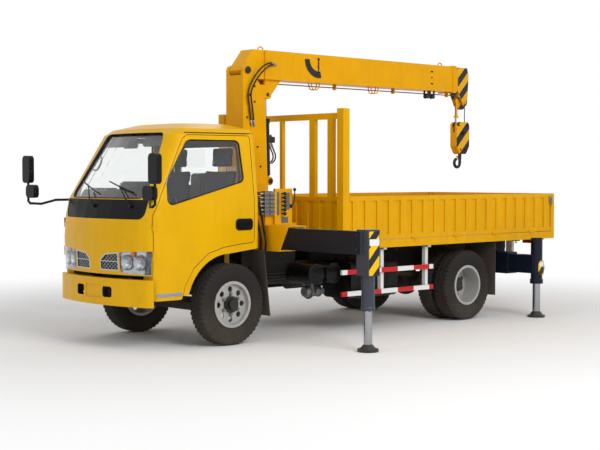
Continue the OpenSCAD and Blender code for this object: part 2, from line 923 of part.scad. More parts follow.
// Box between two corners
module box(lo, hi) {
  translate(lo) cube(hi - lo);
}

// Outline in X and Z, thick from y0 to y1
module slab_y(pts, y0, y1) {
  translate([0, y1, 0]) rotate([90, 0, 0]) linear_extrude(y1 - y0) polygon(pts);
}

// Outline in Y and Z, thick from x0 to x1
module slab_x(pts, x0, x1) {
  translate([x0, 0, 0]) rotate([90, 0, 90]) linear_extrude(x1 - x0) polygon(pts);
}

// Outline in X and Y, thick from z0 to z1
module slab_z(pts, z0, z1) {
  translate([0, 0, z0]) linear_extrude(z1 - z0) polygon(pts);
}

// Round bar along X, Y or Z
module bar_x(x0, x1, y, z, r) {
  translate([x0, y, z]) rotate([0, 90, 0]) cylinder(h = x1 - x0, r = r);
}
module bar_y(x, y0, y1, z, r) {
  translate([x, y0, z]) rotate([-90, 0, 0]) cylinder(h = y1 - y0, r = r);
}
module bar_z(x, y, z0, z1, r) {
  translate([x, y, z0]) cylinder(h = z1 - z0, r = r);
}

// Round bar between two points
module bar(p, q, r) {
  v = q - p;
  translate(p)
    rotate([0, acos(v.z / norm(v)), atan2(v.y, v.x)])
      cylinder(h = norm(v), r = r);
}

// The piece and its mirror image on the other side
module both() {
  children();
  mirror([0, 1, 0]) children();
}

// The truck's own coordinates start over the front axle
module placed() {
  translate([front_axle_x, 0, 0]) children();
}

// Frame rails, channels that open inward
module frame_rails() {
  color("dimgray") placed() both() difference() {
    box([-frame_tail, frame_y - rail_flange, frame_low], [frame_nose, frame_y, frame_top]);
    box([-frame_tail - over, frame_y - rail_flange - over, frame_low + rail_t],
      [frame_nose + over, frame_y - rail_t, frame_top - rail_t]);
  }
}

// Cross members between the rails
module cross_members() {
  color("dimgray") placed()
    for (s = member_shares)
      translate([frame_nose - s * (frame_nose + frame_tail), 0, frame_top - rail_h / 2])
        cube([member_l, (frame_y - rail_t - seat) * 2, member_h], center = true);
}

// Front beam with king pins and the rear axle with its differential
module axles() {
  color("dimgray") placed() {
    front_beam();
    translate([rear_x, 0, 0]) rear_axle();
  }
}

// Dropped front beam, its eyes and pins
module front_beam() {
  seat_low = axle_z - beam_drop;
  low = [[-king_y, axle_z - beam_h / 2], [-spring_y - spring_w, seat_low - beam_h / 2],
    [spring_y + spring_w, seat_low - beam_h / 2], [king_y, axle_z - beam_h / 2]];
  high = [[king_y, axle_z + beam_h / 2], [spring_y + spring_w, seat_low + beam_h / 2],
    [-spring_y - spring_w, seat_low + beam_h / 2], [-king_y, axle_z + beam_h / 2]];
  slab_x(concat(low, high), -beam_w / 2, beam_w / 2);
  both() {
    bar_z(0, king_y, axle_z - king_eye_h / 2, axle_z + king_eye_h / 2, king_eye_d / 2);
    bar_z(0, king_y, axle_z - king_pin_h / 2, axle_z + king_pin_h / 2, king_pin_d / 2);
  }
}

// Rear axle tube, spindles and differential
module rear_axle() {
  bar_y(0, -rear_track / 2 + twin_pitch, rear_track / 2 - twin_pitch, axle_z, axle_tube_d / 2);
  bar_y(0, -rear_track / 2, rear_track / 2, axle_z, spindle_d / 2);
  translate([0, 0, axle_z]) sphere(d = diff_d);
  bar_x(0, diff_d / 2 + shaft_d / 2, 0, axle_z, diff_d / 4);
}

// Leaf spring pack of length l whose lowest middle lies at z
module leaf_pack(l, z) {
  rise = frame_low - hanger_l / 2 - z;
  low = [for (s = spring_shares) [s.x * l, z + rise * (1 - s.y) - spring_pack / 6 * (1 - s.y)]];
  high = [for (s = spring_shares) [-s.x * l,
    z + rise * (1 - s.y) + spring_pack * (leaf_share + (1 - leaf_share) * s.y)]];
  slab_y(concat(low, high), spring_y - spring_w / 2, spring_y + spring_w / 2);
  for (e = [-l / 2, l / 2]) {
    bar_y(e, spring_y - spring_w / 2, spring_y + spring_w / 2, frame_low - hanger_l / 2, spring_w / 2);
    box([e - spring_w / 3, spring_y - spring_w / 2, frame_low - hanger_l / 2],
      [e + spring_w / 3, spring_y + spring_w / 2, frame_low - seat]);
  }
}

// Springs over both axles
module leaf_springs() {
  color("dimgray") placed() both() {
    leaf_pack(front_spring_l, axle_z - beam_drop + beam_h / 2 + seat);
    translate([rear_x, 0, 0]) leaf_pack(rear_spring_l, axle_z + axle_tube_d / 2 + seat);
  }
}

// Engine block, gearbox, propeller shaft and exhaust
module driveline() {
  back = engine_nose - engine_l;
  gear_end = back - gearbox_l;
  diff_nose = rear_x + diff_d / 2 + shaft_d / 2 + seat + shaft_joint_d / 2;
  color("dimgray") placed() {
    box([back, -engine_w / 2, engine_z], [engine_nose, engine_w / 2, engine_z + engine_h]);
    box([gear_end, -gearbox_w / 2, engine_z], [back + over, gearbox_w / 2, engine_z + gearbox_h]);
    bar([gear_end, 0, shaft_z], [diff_nose, 0, axle_z], shaft_d / 2);
    for (p = [[gear_end - shaft_joint_d / 2, shaft_z], [diff_nose, axle_z]])
      translate([p.x, 0, p.y]) sphere(d = shaft_joint_d);
    exhaust(back);
  }
}

// Exhaust pipe beside the gearbox and its silencer, inside the right rail
module exhaust(start) {
  y = -frame_y + rail_flange + slide_gap + silencer_d / 2;
  z = frame_low - slide_gap - silencer_d / 2;
  front = start - gearbox_l - silencer_l;
  bar_x(front - silencer_l - silencer_d * 2, start + over, y, z, exhaust_d / 2);
  bar_x(front - silencer_l, front, y, z, silencer_d / 2);
}

// Rounded outline of the fuel tank, grown by d
function fuel_outline(d) = rounded([
  [frame_y + over - d, fuel_z - d, fuel_r + d], [frame_y + over + fuel_w + d, fuel_z - d, fuel_r + d],
  [frame_y + over + fuel_w + d, fuel_z + fuel_h + d, fuel_r + d],
  [frame_y + over - d, fuel_z + fuel_h + d, fuel_r + d]
]);

// Air tanks and fuel tank on the left, battery box on the right
module tanks() {
  color("darkslategray") placed() {
    for (k = [0, 1]) {
      x = -air_tank_x - k * air_tank_pitch;
      bar_y(x, frame_y + over / 2, frame_y + over / 2 + air_tank_l, air_tank_z, air_tank_d / 2);
      box([x - strap_w / 2, frame_y + seat, air_tank_z - strap_w], [x + strap_w / 2, frame_y + over,
        air_tank_z + strap_w]);
    }
    slab_x(fuel_outline(0), -fuel_x - fuel_l, -fuel_x);
    for (s = strap_shares)
      translate([-fuel_x - s * fuel_l - strap_w / 2, 0, 0]) {
        slab_x(fuel_outline(strap_t), 0, strap_w);
        box([0, frame_y + seat, frame_low + rail_t], [strap_w, frame_y + over * 2, frame_top - fuel_r]);
      }
    mirror([0, 1, 0]) battery_box();
  }
}

// Battery box on brackets
module battery_box() {
  z1 = frame_top - rail_h / 4;
  box([-guard_nose - battery_l, frame_y + over, z1 - battery_h], [-guard_nose, frame_y + fuel_w, z1]);
  for (s = strap_shares)
    translate([-guard_nose - s * battery_l, 0, 0])
      box([-strap_w / 2, frame_y + seat, frame_low + rail_t],
        [strap_w / 2, frame_y + over * 2, frame_low + rail_h / 2]);
}

// Side guards under the bed and the bar under its rear end
module guards() {
  color("firebrick") placed() {
    both() {
      for (z = [guard_low, guard_high])
        box([-guard_nose - guard_l, guard_y - guard_bar_t, z - guard_bar_h / 2],
          [-guard_nose, guard_y, z + guard_bar_h / 2]);
      for (s = post_shares)
        translate([-guard_nose - s * guard_l, guard_y - guard_bar_t - guard_post, 0])
          guard_stay(bed_y - edge_w / 2 - guard_y + guard_bar_t + guard_post);
      box([-bed_tail + edge_w * 2, frame_y + guard_post, underrun_z + underrun_h / 2],
        [-bed_tail + edge_w * 2 + guard_post, frame_y + guard_post * 3, bearer_low - seat]);
    }
    box([-bed_tail + edge_w * 2 - guard_bar_t, -underrun_w, underrun_z],
      [-bed_tail + edge_w * 2, underrun_w, underrun_z + underrun_h]);
  }
}

// Post of a side guard, bent out under the bed's rail at reach y
module guard_stay(y) {
  half = guard_post / 2;
  low = bearer_low - rail_t - seat;
  box([-half, 0, guard_low - guard_bar_h / 2], [half, guard_post, bearer_low - seat]);
  box([-half, 0, low], [half, y, bearer_low - seat]);
  box([-half, y - rail_t * 2, low], [half, y, edge_low - seat]);
}

// Flaps behind the wheels
module mud_flaps() {
  front = [[-cab_back - over * 2, flap_z], [-cab_back - over * 2 + flap_t, flap_z],
    [-cab_back - over / 2 + flap_t, frame_top], [-cab_back + flap_t, deck_z - over],
    [-cab_back, deck_z - over], [-cab_back - over / 2, frame_top]];
  outer = front_track / 2 + tyre_w / 2;
  rear_out = rear_track / 2 + twin_pitch / 2 + tyre_w / 2;
  color("black") placed() both() {
    slab_y(front, outer - front_flap_w, outer);
    box([-cab_back - over, frame_y + seat, frame_top - rail_h / 2],
      [-cab_back - over / 2 + flap_t, outer - front_flap_w + over, frame_top - rail_h / 3]);
    translate([rear_x - rear_flap_x, 0, 0])
      box([-flap_t, rear_out - rear_flap_w, flap_z], [0, rear_out, bearer_low - seat]);
  }
}

// Cab's outer form moved inward by d
module cab_form(d) {
  hull()
    for (s = cab_shares)
      translate([0, 0, s[0] * cab_top - s[6] * d]) linear_extrude(seat) polygon(cab_ring(s, d));
}

// Space of the cabin over its stepped floor
module cabin_space() {
  riser = [arch_r - over, deck_top];
  slab_y([[-far, deck_top], riser, [arch_r, foot_z + cab_wall], [far, foot_z + cab_wall], [far, far],
    [-far, far]], -far, far);
}

// Space under the cabin's floor
module under_space() {
  slab_y([[-far, 0], [far, 0], [far, foot_z], [arch_r - cab_wall, foot_z],
    [arch_r - over - cab_wall, deck_z], [-far, deck_z]], -far, far);
}

// Cuts under the cab: wheel arch, rear edge and the gap over the bumper
module cab_under_cuts() {
  bar_y(0, -far, far, axle_z, arch_r);
  slab_y([[0, 0], [0, axle_z + arch_r], [-cab_back - over, axle_z + arch_r + arch_rise],
    [-cab_back - over, 0]], -far, far);
  box([door_nose - seat, -far, 0], [far, far, front_panel_z]);
}

// Front openings, cut to depth d under the skin
module front_prisms(d) {
  slab_x(rounded(inset(cowl_points(), d)), 0, far);
  both() {
    slab_x(rounded(inset(lamp_points(), d)), lamp_x - seat, far);
    slab_x(rounded(inset(grille_points(), d)), 0, far);
  }
}

// Cab shell with its floor, pillars and openings
module cab_shell() {
  color("gold") placed() {
    cab_body();
    both() {
      box([arch_r, frame_y - rail_flange, frame_top + seat], [arch_r + spring_w, frame_y, foot_z + over / 2]);
      box([-cab_back + cab_wall, frame_y - rail_flange, frame_top + seat],
        [-cab_back + cab_wall + spring_w, frame_y, deck_z + over / 2]);
      door_knuckles(0);
    }
  }
}

// Walls, floor and openings of the cab
module cab_body() {
  difference() {
    cab_form(0);
    intersection() {
      cab_form(cab_wall);
      union() {
        cabin_space();
        under_space();
      }
    }
    difference() {
      front_prisms(0);
      cab_form(lamp_depth);
    }
    cab_under_cuts();
    both() side_prism(door_points());
    box([arch_r / 2, -far, 0], [far, far, door_z + over]);
    slab_x(rounded(screen_points()), 0, far);
    slab_x(rounded(rear_window_points()), -far, 0);
  }
}

// Dark panel under the windscreen
module cowl_panel() {
  color("black") placed() difference() {
    intersection() {
      cab_form(cowl_t / 4);
      slab_x(rounded(inset(cowl_points(), seat)), 0, far);
    }
    cab_form(lamp_depth - seat);
  }
}

// Front lamps in their pockets and tail lamps under the bed
module lamps() {
  color("white") placed() {
    difference() {
      intersection() {
        cab_form(0);
        both() slab_x(rounded(inset(lamp_points(), seat)), lamp_x, far);
      }
      cab_form(lamp_depth - seat);
    }
    both()
      box([-bed_tail + corner_l / 3, frame_y + fuel_w / 2, edge_low - bearer_h],
        [-bed_tail + corner_l, frame_y + fuel_w, edge_low - seat]);
  }
}

// Grilles beside the lamps, with cross bars
module grilles() {
  color("gray") placed() difference() {
    intersection() {
      cab_form(0);
      both() slab_x(rounded(inset(grille_points(), seat)), 0, far);
    }
    cab_form(lamp_depth - seat);
    difference() {
      both() slab_x(rounded(inset(grille_points(), grille_frame)), 0, far);
      cab_form(lamp_depth / 2);
      for (k = [1:grille_bars])
        box([0, -far, grille_z + grille_h * k / (grille_bars + 1) - grille_bar_t / 2],
          [far, far, grille_z + grille_h * k / (grille_bars + 1) + grille_bar_t / 2]);
    }
  }
}

// Windscreen and rear window panes
module cab_glass() {
  color("lightblue") placed() difference() {
    intersection() {
      cab_form(glass_depth);
      union() {
        slab_x(rounded(inset(screen_points(), seat)), 0, far);
        slab_x(rounded(inset(rear_window_points(), seat)), -far, 0);
      }
    }
    cab_form(glass_depth + glass_t);
  }
}

// Outline in X and Z run out through the left side wall
module side_prism(pts) {
  low = zone_shares[0] * cab_w / 2;
  high = zone_shares[1] * cab_w / 2;
  intersection() {
    slab_y(rounded(pts), 0, far);
    slab_x([[low, 0], [far, 0], [far, far], [high, far], [high, door_z + door_h], [low, screen_z]],
      -far, far);
  }
}

// Wall of the cab inside an outline on the left
module side_wall(pts, outer, inner) {
  difference() {
    intersection() {
      cab_form(outer);
      side_prism(pts);
    }
    cab_form(inner);
    cab_under_cuts();
  }
}

// Hinge barrels at the left door's front edge: kind 0 on the cab, kind 1 on the door
module door_knuckles(kind) {
  x = door_pin_x;
  leaf = kind == 0 ? [door_pin_d, -door_pin_d * 2] : [-door_pin_d * 2, -door_pin_d * 4];
  for (z = door_hinge_zs) {
    z0 = z + kind * (door_hinge_l + seat);
    difference() {
      union() {
        bar_z(x, door_pin_y, z0, z0 + door_hinge_l, door_pin_d);
        box([x + min(0, leaf.x), door_pin_y + min(0, leaf.y), z0],
          [x + max(0, leaf.x), door_pin_y, z0 + door_hinge_l]);
      }
      if (kind == 1)
        bar_z(x, door_pin_y, z0 - over, z0 + door_hinge_l + over, door_pin_d / 2 + seat);
    }
    if (kind == 0)
      bar_z(x, door_pin_y, z0, z0 + door_hinge_l * 2, door_pin_d / 2);
  }
}

// Left door, hung at its front edge
module door_leaf() {
  difference() {
    side_wall(inset(door_points(), door_gap), 0, cab_wall);
    side_prism(window_points());
  }
  door_knuckles(1);
}

module left_door() {
  color("gold") placed() door_leaf();
}
module right_door() {
  color("gold") placed() mirror([0, 1, 0]) door_leaf();
}
module left_door_glass() {
  color("lightblue") placed() side_wall(inset(window_points(), seat), glass_depth, glass_depth + glass_t);
}
module right_door_glass() {
  color("lightblue") placed() mirror([0, 1, 0])
    side_wall(inset(window_points(), seat), glass_depth, glass_depth + glass_t);
}

// Plan outline of the bumper's outer face moved inward by d
function bumper_plan(d) =
  let (nose = bumper_nose - d, cx = bumper_nose - bumper_bow - d, cy = bumper_w / 2 - d)
  rounded(concat(
    [[0, -cy, 0], [cx, -cy, bumper_r - d]],
    [for (b = bow_shares) [cx + (nose - cx) * (1 - b * b), b * cy, 0]],
    [[cx, cy, bumper_r - d], [0, cy, 0]]
  ));

// Bumper with slots and a bare recess for a plate
module bumper() {
  mid = bumper_z + bumper_h / 2;
  color("gold") placed() both()
    box([frame_nose + seat, frame_y - rail_flange, frame_low + rail_t * 2],
      [bumper_nose - bumper_bow * bracket_share, frame_y, bumper_z + bumper_h - rail_t]);
  color("gold") placed() difference() {
    slab_z(bumper_plan(0), bumper_z, bumper_z + bumper_h);
    slab_z(bumper_plan(bumper_t), bumper_z - over, bumper_z + bumper_h + over);
    box([-over, -bumper_w, bumper_z - over], [bumper_back, bumper_w, bumper_z + bumper_h + over]);
    both()
      slab_x(rounded([
        [bumper_slot_y - bumper_slot_w / 2, mid - bumper_slot_h / 2, bumper_slot_h / 4],
        [bumper_slot_y + bumper_slot_w / 2, mid - bumper_slot_h / 2, bumper_slot_h / 4],
        [bumper_slot_y + bumper_slot_w / 2, mid + bumper_slot_h / 2, bumper_slot_h / 4],
        [bumper_slot_y - bumper_slot_w / 2, mid + bumper_slot_h / 2, bumper_slot_h / 4]
      ]), 0, far);
    box([bumper_nose - plate_depth, -plate_w / 2, mid - plate_h / 2],
      [bumper_nose + over, plate_w / 2, mid + plate_h / 2]);
  }
}

// Dashboard, steering wheel and seats
module cab_interior() {
  color("dimgray") placed() {
    box([door_nose - dash_l - cab_wall, -dash_y, dash_top - dash_h],
      [door_nose - cab_wall, dash_y, dash_top]);
    translate([door_nose - cab_wall - dash_l / 2, seat_y, dash_top - dash_h / 2])
      rotate([0, -90 + helm_lean, 0]) {
        cylinder(h = helm_reach, d = helm_post_d);
        translate([0, 0, helm_reach]) {
          rotate_extrude() translate([helm_d / 2 - helm_t / 2, 0]) circle(d = helm_t);
          for (k = [1:helm_spokes])
            rotate([0, 0, 360 * k / helm_spokes]) bar_x(0, helm_d / 2 - helm_t / 2, 0, 0, helm_t / 3);
          cylinder(h = helm_t, d = helm_post_d * 2, center = true);
        }
      }
    box([door_nose - dash_l, -helm_post_d, foot_z + cab_wall + seat],
      [door_nose - cab_wall * 2, helm_post_d, dash_top - dash_h / 2]);
    both() truck_seat();
  }
}

// One seat on the deck
module truck_seat() {
  x0 = -cab_back + cab_wall + seat_back_t;
  z0 = deck_top + seat;
  y0 = seat_y - seat_w / 2;
  y1 = seat_y + seat_w / 2;
  r = seat_back_t / 3;
  slab_y(rounded([[x0, z0, r], [x0 + cushion_l + seat_back_t, z0, r],
    [x0 + cushion_l + seat_back_t, z0 + cushion_h, r], [x0 + seat_back_t, z0 + cushion_h, 0],
    [x0 + seat_back_t / 2, z0 + cushion_h + seat_back_h, r],
    [x0 - seat_back_t / 2, z0 + cushion_h + seat_back_h, r]]), y0, y1);
}

// Mirror heads on their arms
module mirrors() {
  x = mirror_nose - mirror_t / 2;
  root = [cab_nose - cab_corner_r * 2, cab_w / 2 - cab_corner_r - over, screen_z - over / 2];
  foot = [x, mirror_y, mirror_z];
  bends = [for (s = arm_shares)
    [root.x + s.x * (foot.x - root.x), root.y + s.y * (foot.y - root.y), root.z - s.z * mirror_dip]];
  path = concat([root], bends, [foot + [0, 0, mirror_r]]);
  low = mirror_z - mirror_gap - wide_mirror_h;
  color("black") placed() {
    both() {
      mirror_head(mirror_y, mirror_z, mirror_w, mirror_h);
      mirror_head(mirror_y - wide_mirror_w / 2, low, wide_mirror_w, wide_mirror_h);
    }
    difference() {
      both() {
        for (k = [1:len(path) - 1]) bar(path[k - 1], path[k], mirror_arm_d / 2);
        for (p = bends) translate(p) sphere(d = mirror_arm_d + clear);
      }
      cab_form(-seat);
    }
  }
}

// One mirror head of w by h that stands from z up
module mirror_head(y, z, w, h) {
  y0 = y - w / 2;
  y1 = y + w / 2;
  slab_x(rounded([[y0, z, mirror_r], [y1, z, mirror_r], [y1, z + h, mirror_r], [y0, z + h, mirror_r]]),
    mirror_nose - mirror_t, mirror_nose);
}

// Bed floor with the rail around it and the rear corner posts
module bed_floor() {
  color("gold") placed() {
    box([-bed_tail, -bed_y, floor_z - floor_t], [-bed_nose, bed_y, floor_z]);
    difference() {
      box([-bed_tail, -bed_y, edge_low], [-bed_nose, bed_y, floor_z]);
      box([-bed_tail + edge_w, -bed_y + edge_w, edge_low - over],
        [-bed_nose - edge_w, bed_y - edge_w, floor_z + over]);
    }
    both() {
      box([-bed_tail, bed_y - corner_l, edge_low], [-bed_tail + corner_l, bed_y, floor_z + board_h]);
      translate([-bed_tail + corner_l + board_gap, bed_y + board_hinge_y, board_z - board_gap / 2])
        board_knuckles(bed_tail - bed_nose - corner_l - board_gap * 2, side_hinges, 0);
    }
    across_tail() translate([0, board_hinge_y, -board_gap / 2])
      board_knuckles((bed_y - corner_l - board_gap) * 2, tail_hinges, 0);
    for (k = [0:tail_hinges - 1])
      translate([-bed_tail, (bed_y - corner_l - board_gap) * (1 - (k * 2 + 1) / tail_hinges), 0])
        box([-rib_depth - seat, -board_hinge_l / 2 - seat, floor_z - board_rail], [0, 0, floor_z - seat]);
  }
}

// Bearers between the frame and the bed's floor
module bed_bearers() {
  color("dimgray") placed() {
    both()
      box([-bed_tail + edge_w * 2, frame_y - rail_flange, frame_top + seat],
        [-bed_nose - edge_w, frame_y, bearer_low]);
    for (k = [0:bearers - 1])
      translate([-bed_nose - edge_w - bearer_w
        - k * (bed_tail - bed_nose - edge_w * 3 - bearer_w) / (bearers - 1), 0, 0])
        box([0, -bed_y + edge_w + seat, bearer_low],
          [bearer_w, bed_y - edge_w - seat, floor_z - floor_t - seat]);
  }
}

// Frame in front of the bed: posts, bars and ribbed panel
module head_frame() {
  x0 = -bed_nose + seat;
  x1 = x0 + post_w;
  bar_z1 = head_top - head_bar_drop;
  color("gold") placed() {
    both() {
      box([x0, bed_y - post_w, edge_low], [x1, bed_y, head_top]);
      for (y = [upright_in, upright_out])
        box([x0, y - upright_w / 2, panel_top - over], [x0 + upright_t, y + upright_w / 2, bar_z1]);
    }
    box([x0, -upright_w / 4, panel_top - over], [x0 + upright_t, upright_w / 4, bar_z1]);
    box([x0, -bed_y + over, bar_z1 - head_bar_h], [x0 + upright_t, bed_y - over, bar_z1]);
    box([x0, -bed_y + over, edge_low], [x0 + board_t, bed_y - over, panel_top]);
    for (z = [edge_low, panel_top - board_rail])
      box([x0, -bed_y + over, z], [x0 + upright_t, bed_y - over, z + board_rail]);
    for (k = [1:panel_ribs])
      translate([x0, -bed_y + post_w + (bed_w - post_w * 2) * k / (panel_ribs + 1), 0])
        box([0, -rib_w / 2, edge_low], [board_t + rib_depth, rib_w / 2, panel_top]);
  }
}

// Row of n hinge barrels along X from 0 to l; kind 0 below the axis with pins, kind 1 above it
module board_knuckles(l, n, kind) {
  r = board_hinge_d / 2;
  up = kind == 0 ? -1 : 1;
  for (k = [0:n - 1])
    translate([l * (k + 0.5) / n + kind * (board_hinge_l / 2 + seat), 0, 0]) {
      difference() {
        union() {
          bar_x(0, board_hinge_l / 2, 0, 0, r);
          box([0, -board_hinge_y - seat, min(0, up * board_rail)],
            [board_hinge_l / 2, -board_hinge_y + r / 2, max(0, up * board_rail)]);
        }
        if (kind == 1)
          bar_x(-over, board_hinge_l, 0, 0, r / 2 + seat);
      }
      if (kind == 0)
        bar_x(0, board_hinge_l, 0, 0, r / 2);
    }
}

// Ribbed board of length l and height h, flush outer ribs at y = 0, standing from z = 0
module ribbed_board(l, h, n) {
  box([0, -rib_depth - board_t, 0], [l, -rib_depth, h]);
  for (z = [0, h - board_rail])
    box([0, -rib_depth - board_t, z], [l, 0, z + board_rail]);
  pitch = l / n;
  for (k = [0:n - 1])
    translate([pitch * (k + 0.5), 0, 0])
      box([-rib_w / 2, -rib_depth - board_t, 0], [rib_w / 2, 0, h]);
}

// Left side board between the head frame and the rear post
module side_board() {
  l = bed_tail - bed_nose - corner_l - board_gap * 2;
  translate([-bed_tail + corner_l + board_gap, bed_y, board_z]) {
    ribbed_board(l, board_h - board_gap, side_ribs);
    translate([0, board_hinge_y, -board_gap / 2]) board_knuckles(l, side_hinges, 1);
  }
}

module left_board() {
  color("gold") placed() side_board();
}
module right_board() {
  color("gold") placed() mirror([0, 1, 0]) side_board();
}

// Turns a board made along X to lie across the tail, with its outer face at the back
module across_tail() {
  translate([-bed_tail - rib_depth, bed_y - corner_l - board_gap, board_z]) rotate([0, 0, 90])
    mirror([1, 0, 0]) children();
}

// Tail board between the rear posts
module tail_board() {
  l = (bed_y - corner_l - board_gap) * 2;
  color("gold") placed() across_tail() {
    ribbed_board(l, board_h - board_gap, tail_ribs);
    translate([0, board_hinge_y, -board_gap / 2]) board_knuckles(l, tail_hinges, 1);
  }
}

// Crane base: cross box, frame plates, pedestal and slewing ring
module crane_base() {
  color("gold") placed() difference() {
    union() {
      slab_x([[-box_low, box_z0], [box_low, box_z0], [box_high, box_z1], [-box_high, box_z1]],
        box_x0, box_x1);
      both() {
        box([-base_tail, frame_y - rail_flange, frame_top + seat], [box_x1, frame_y, box_z1]);
        box([-base_tail, frame_y, box_z1 - base_t * 2], [box_x1, base_w / 2, box_z1]);
      }
      box([-base_tail, -base_w / 2, box_z1 - base_t], [box_x1, base_w / 2, box_z1]);
      box([-base_tail, -frame_y, box_z0], [-base_tail + base_t, frame_y, box_z1]);
      bar_z(-slew_x, 0, box_z0, ring_z - ring_h / 2, pedestal_d / 2);
      bar_z(-slew_x, 0, ring_z - ring_h, ring_z, ring_d / 2);
      for (k = [0:pedestal_ribs - 1])
        translate([-slew_x, 0, 0]) rotate([0, 0, 360 * (k + 0.5) / pedestal_ribs])
          slab_y([[0, box_z1 - base_t], [ring_d / 2 + base_t, box_z1 - base_t],
            [pedestal_d / 2 + base_t / 2, ring_z - ring_h * 2], [0, ring_z - ring_h * 2]],
            -base_t / 2, base_t / 2);
    }
    for (s = [-1, 1])
      translate([-leg_x + s * (jack_beam_w / 2 + slide_gap / 2), 0, 0])
        box([-jack_beam_w / 2 - slide_gap / 2, -far, jack_beam_z - slide_gap],
          [jack_beam_w / 2 + slide_gap / 2, far, jack_beam_z + jack_beam_h + slide_gap]);
  }
  color("gold") placed() both() for (z = [jack_beam_z - slide_gap, jack_beam_z + jack_beam_h + seat])
    box([-leg_x - jack_beam_w, box_low - pad_l, z],
      [-leg_x + jack_beam_w, box_low - seat, z + slide_gap - seat]);
}

// Boxes that hold the rear beams beside the frame
module rear_jack_boxes() {
  color("darkslateblue") placed() both() translate([-rear_leg_x, 0, 0]) difference() {
    box([-rear_beam_w / 2 - slide_gap - box_wall, frame_y + seat, rear_beam_z - slide_gap - box_wall],
      [rear_beam_w / 2 + slide_gap + box_wall, rear_box_out,
        rear_beam_z + rear_beam_h + slide_gap + box_wall]);
    box([-rear_beam_w / 2 - slide_gap, frame_y + box_wall, rear_beam_z - slide_gap],
      [rear_beam_w / 2 + slide_gap, rear_box_out + over, rear_beam_z + rear_beam_h + slide_gap]);
  }
  color("darkslateblue") placed() both() for (z = [rear_beam_z - slide_gap, rear_beam_z + rear_beam_h + seat])
    box([-rear_leg_x - rear_beam_w / 2, rear_box_out - pad_l, z],
      [-rear_leg_x + rear_beam_w / 2, rear_box_out - seat, z + slide_gap - seat]);
}

// Control panels with valves and knobs on both sides
module control_stations() {
  color("silver") placed() both() {
    box([-station_x - station_l, station_y - station_t, box_z1 + seat], [-station_x, station_y, station_top]);
    for (k = [0:valves - 1])
      translate([0, 0, valve_z + k * valve_pitch]) {
        box([-station_x, station_y - valve_w, 0], [-station_x + valve_l, station_y, valve_h]);
        bar_y(-station_x - station_l * lever_share, station_y, station_y + lever_l, valve_h / 2, knob_d / 5);
        translate([-station_x - station_l * lever_share, station_y + lever_l, valve_h / 2])
          sphere(d = knob_d);
      }
    box([-station_x, station_y - valve_w + valve_h, box_z1 + seat],
      [-station_x + valve_l - valve_h, station_y - valve_h, valve_z + valve_pitch * valves]);
  }
}

// Left knuckle: lugs on the king pin, web and spindle
module knuckle() {
  gap = king_eye_h / 2 + seat;
  wheel_y = front_track / 2;
  both_ends = [axle_z + gap, axle_z - gap - knuckle_lug_h];
  difference() {
    union() {
      for (z = both_ends) {
        bar_z(0, king_y, z, z + knuckle_lug_h, king_eye_d / 2);
        box([-king_eye_d / 3, king_y, z],
          [king_eye_d / 3, king_y + king_eye_d / 2 + clear + knuckle_web, z + knuckle_lug_h]);
      }
      box([-king_eye_d / 3, king_y + king_eye_d / 2 + clear, axle_z - gap - knuckle_lug_h],
        [king_eye_d / 3, king_y + king_eye_d / 2 + clear + knuckle_web, axle_z + gap + knuckle_lug_h]);
      bar_y(0, king_y + king_eye_d / 2 + knuckle_web / 2, wheel_y + disc_out + disc_t, axle_z, spindle_d / 2);
    }
    bar_z(0, king_y, axle_z - king_pin_h, axle_z + king_pin_h, king_pin_d / 2 + seat);
  }
}

module left_knuckle() {
  color("dimgray") placed() knuckle();
}
module right_knuckle() {
  color("dimgray") placed() mirror([0, 1, 0]) knuckle();
}

// Tyre around the Y axis
module tyre() {
  h = tyre_d / 2 - seat_d / 2 - seat;
  half = [for (s = tyre_shares) [seat_d / 2 + seat + s.x * h, s.y * tyre_w / 2]];
  mirrored = [for (k = [len(half) - 1:-1:0]) [half[k].x, -half[k].y]];
  crown = [[tyre_d / 2, tyre_w / 5], [tyre_d / 2, -tyre_w / 5]];
  rotate([90, 0, 0]) rotate_extrude($fn = 96) polygon(concat(half, crown, mirrored));
}

// Rim barrel with two flanges around the Y axis
module rim_barrel() {
  difference() {
    union() {
      bar_y(0, -rim_w / 2, rim_w / 2, 0, seat_d / 2);
      for (y = [-rim_w / 2, rim_w / 2 - flange_t])
        bar_y(0, y, y + flange_t, 0, seat_d / 2 + flange_h);
    }
    bar_y(0, -rim_w, rim_w, 0, seat_d / 2 - rim_wall);
  }
}

// Wheel disc from y to y + disc_t with its hand holes
module wheel_disc(y) {
  difference() {
    bar_y(0, y, y + disc_t, 0, seat_d / 2 - rim_wall / 2);
    for (k = [0:hand_holes - 1])
      rotate([0, 360 * k / hand_holes, 0])
        bar_y(hand_ring_d / 2, y - over, y + disc_t + over, 0, hand_hole_d / 2);
  }
}

// Front wheel around the Y axis, outside at +Y
module front_wheel() {
  difference() {
    union() {
      rim_barrel();
      wheel_disc(disc_out);
      bar_y(0, disc_out - hub_d / 4, disc_out + disc_t + cap_l / 2, 0, hub_d / 2);
      bar_y(0, disc_out, disc_out + disc_t + cap_l, 0, cap_d / 2);
    }
    bar_y(0, -rim_w, disc_out + disc_t + seat, 0, spindle_d / 2 + seat);
  }
}

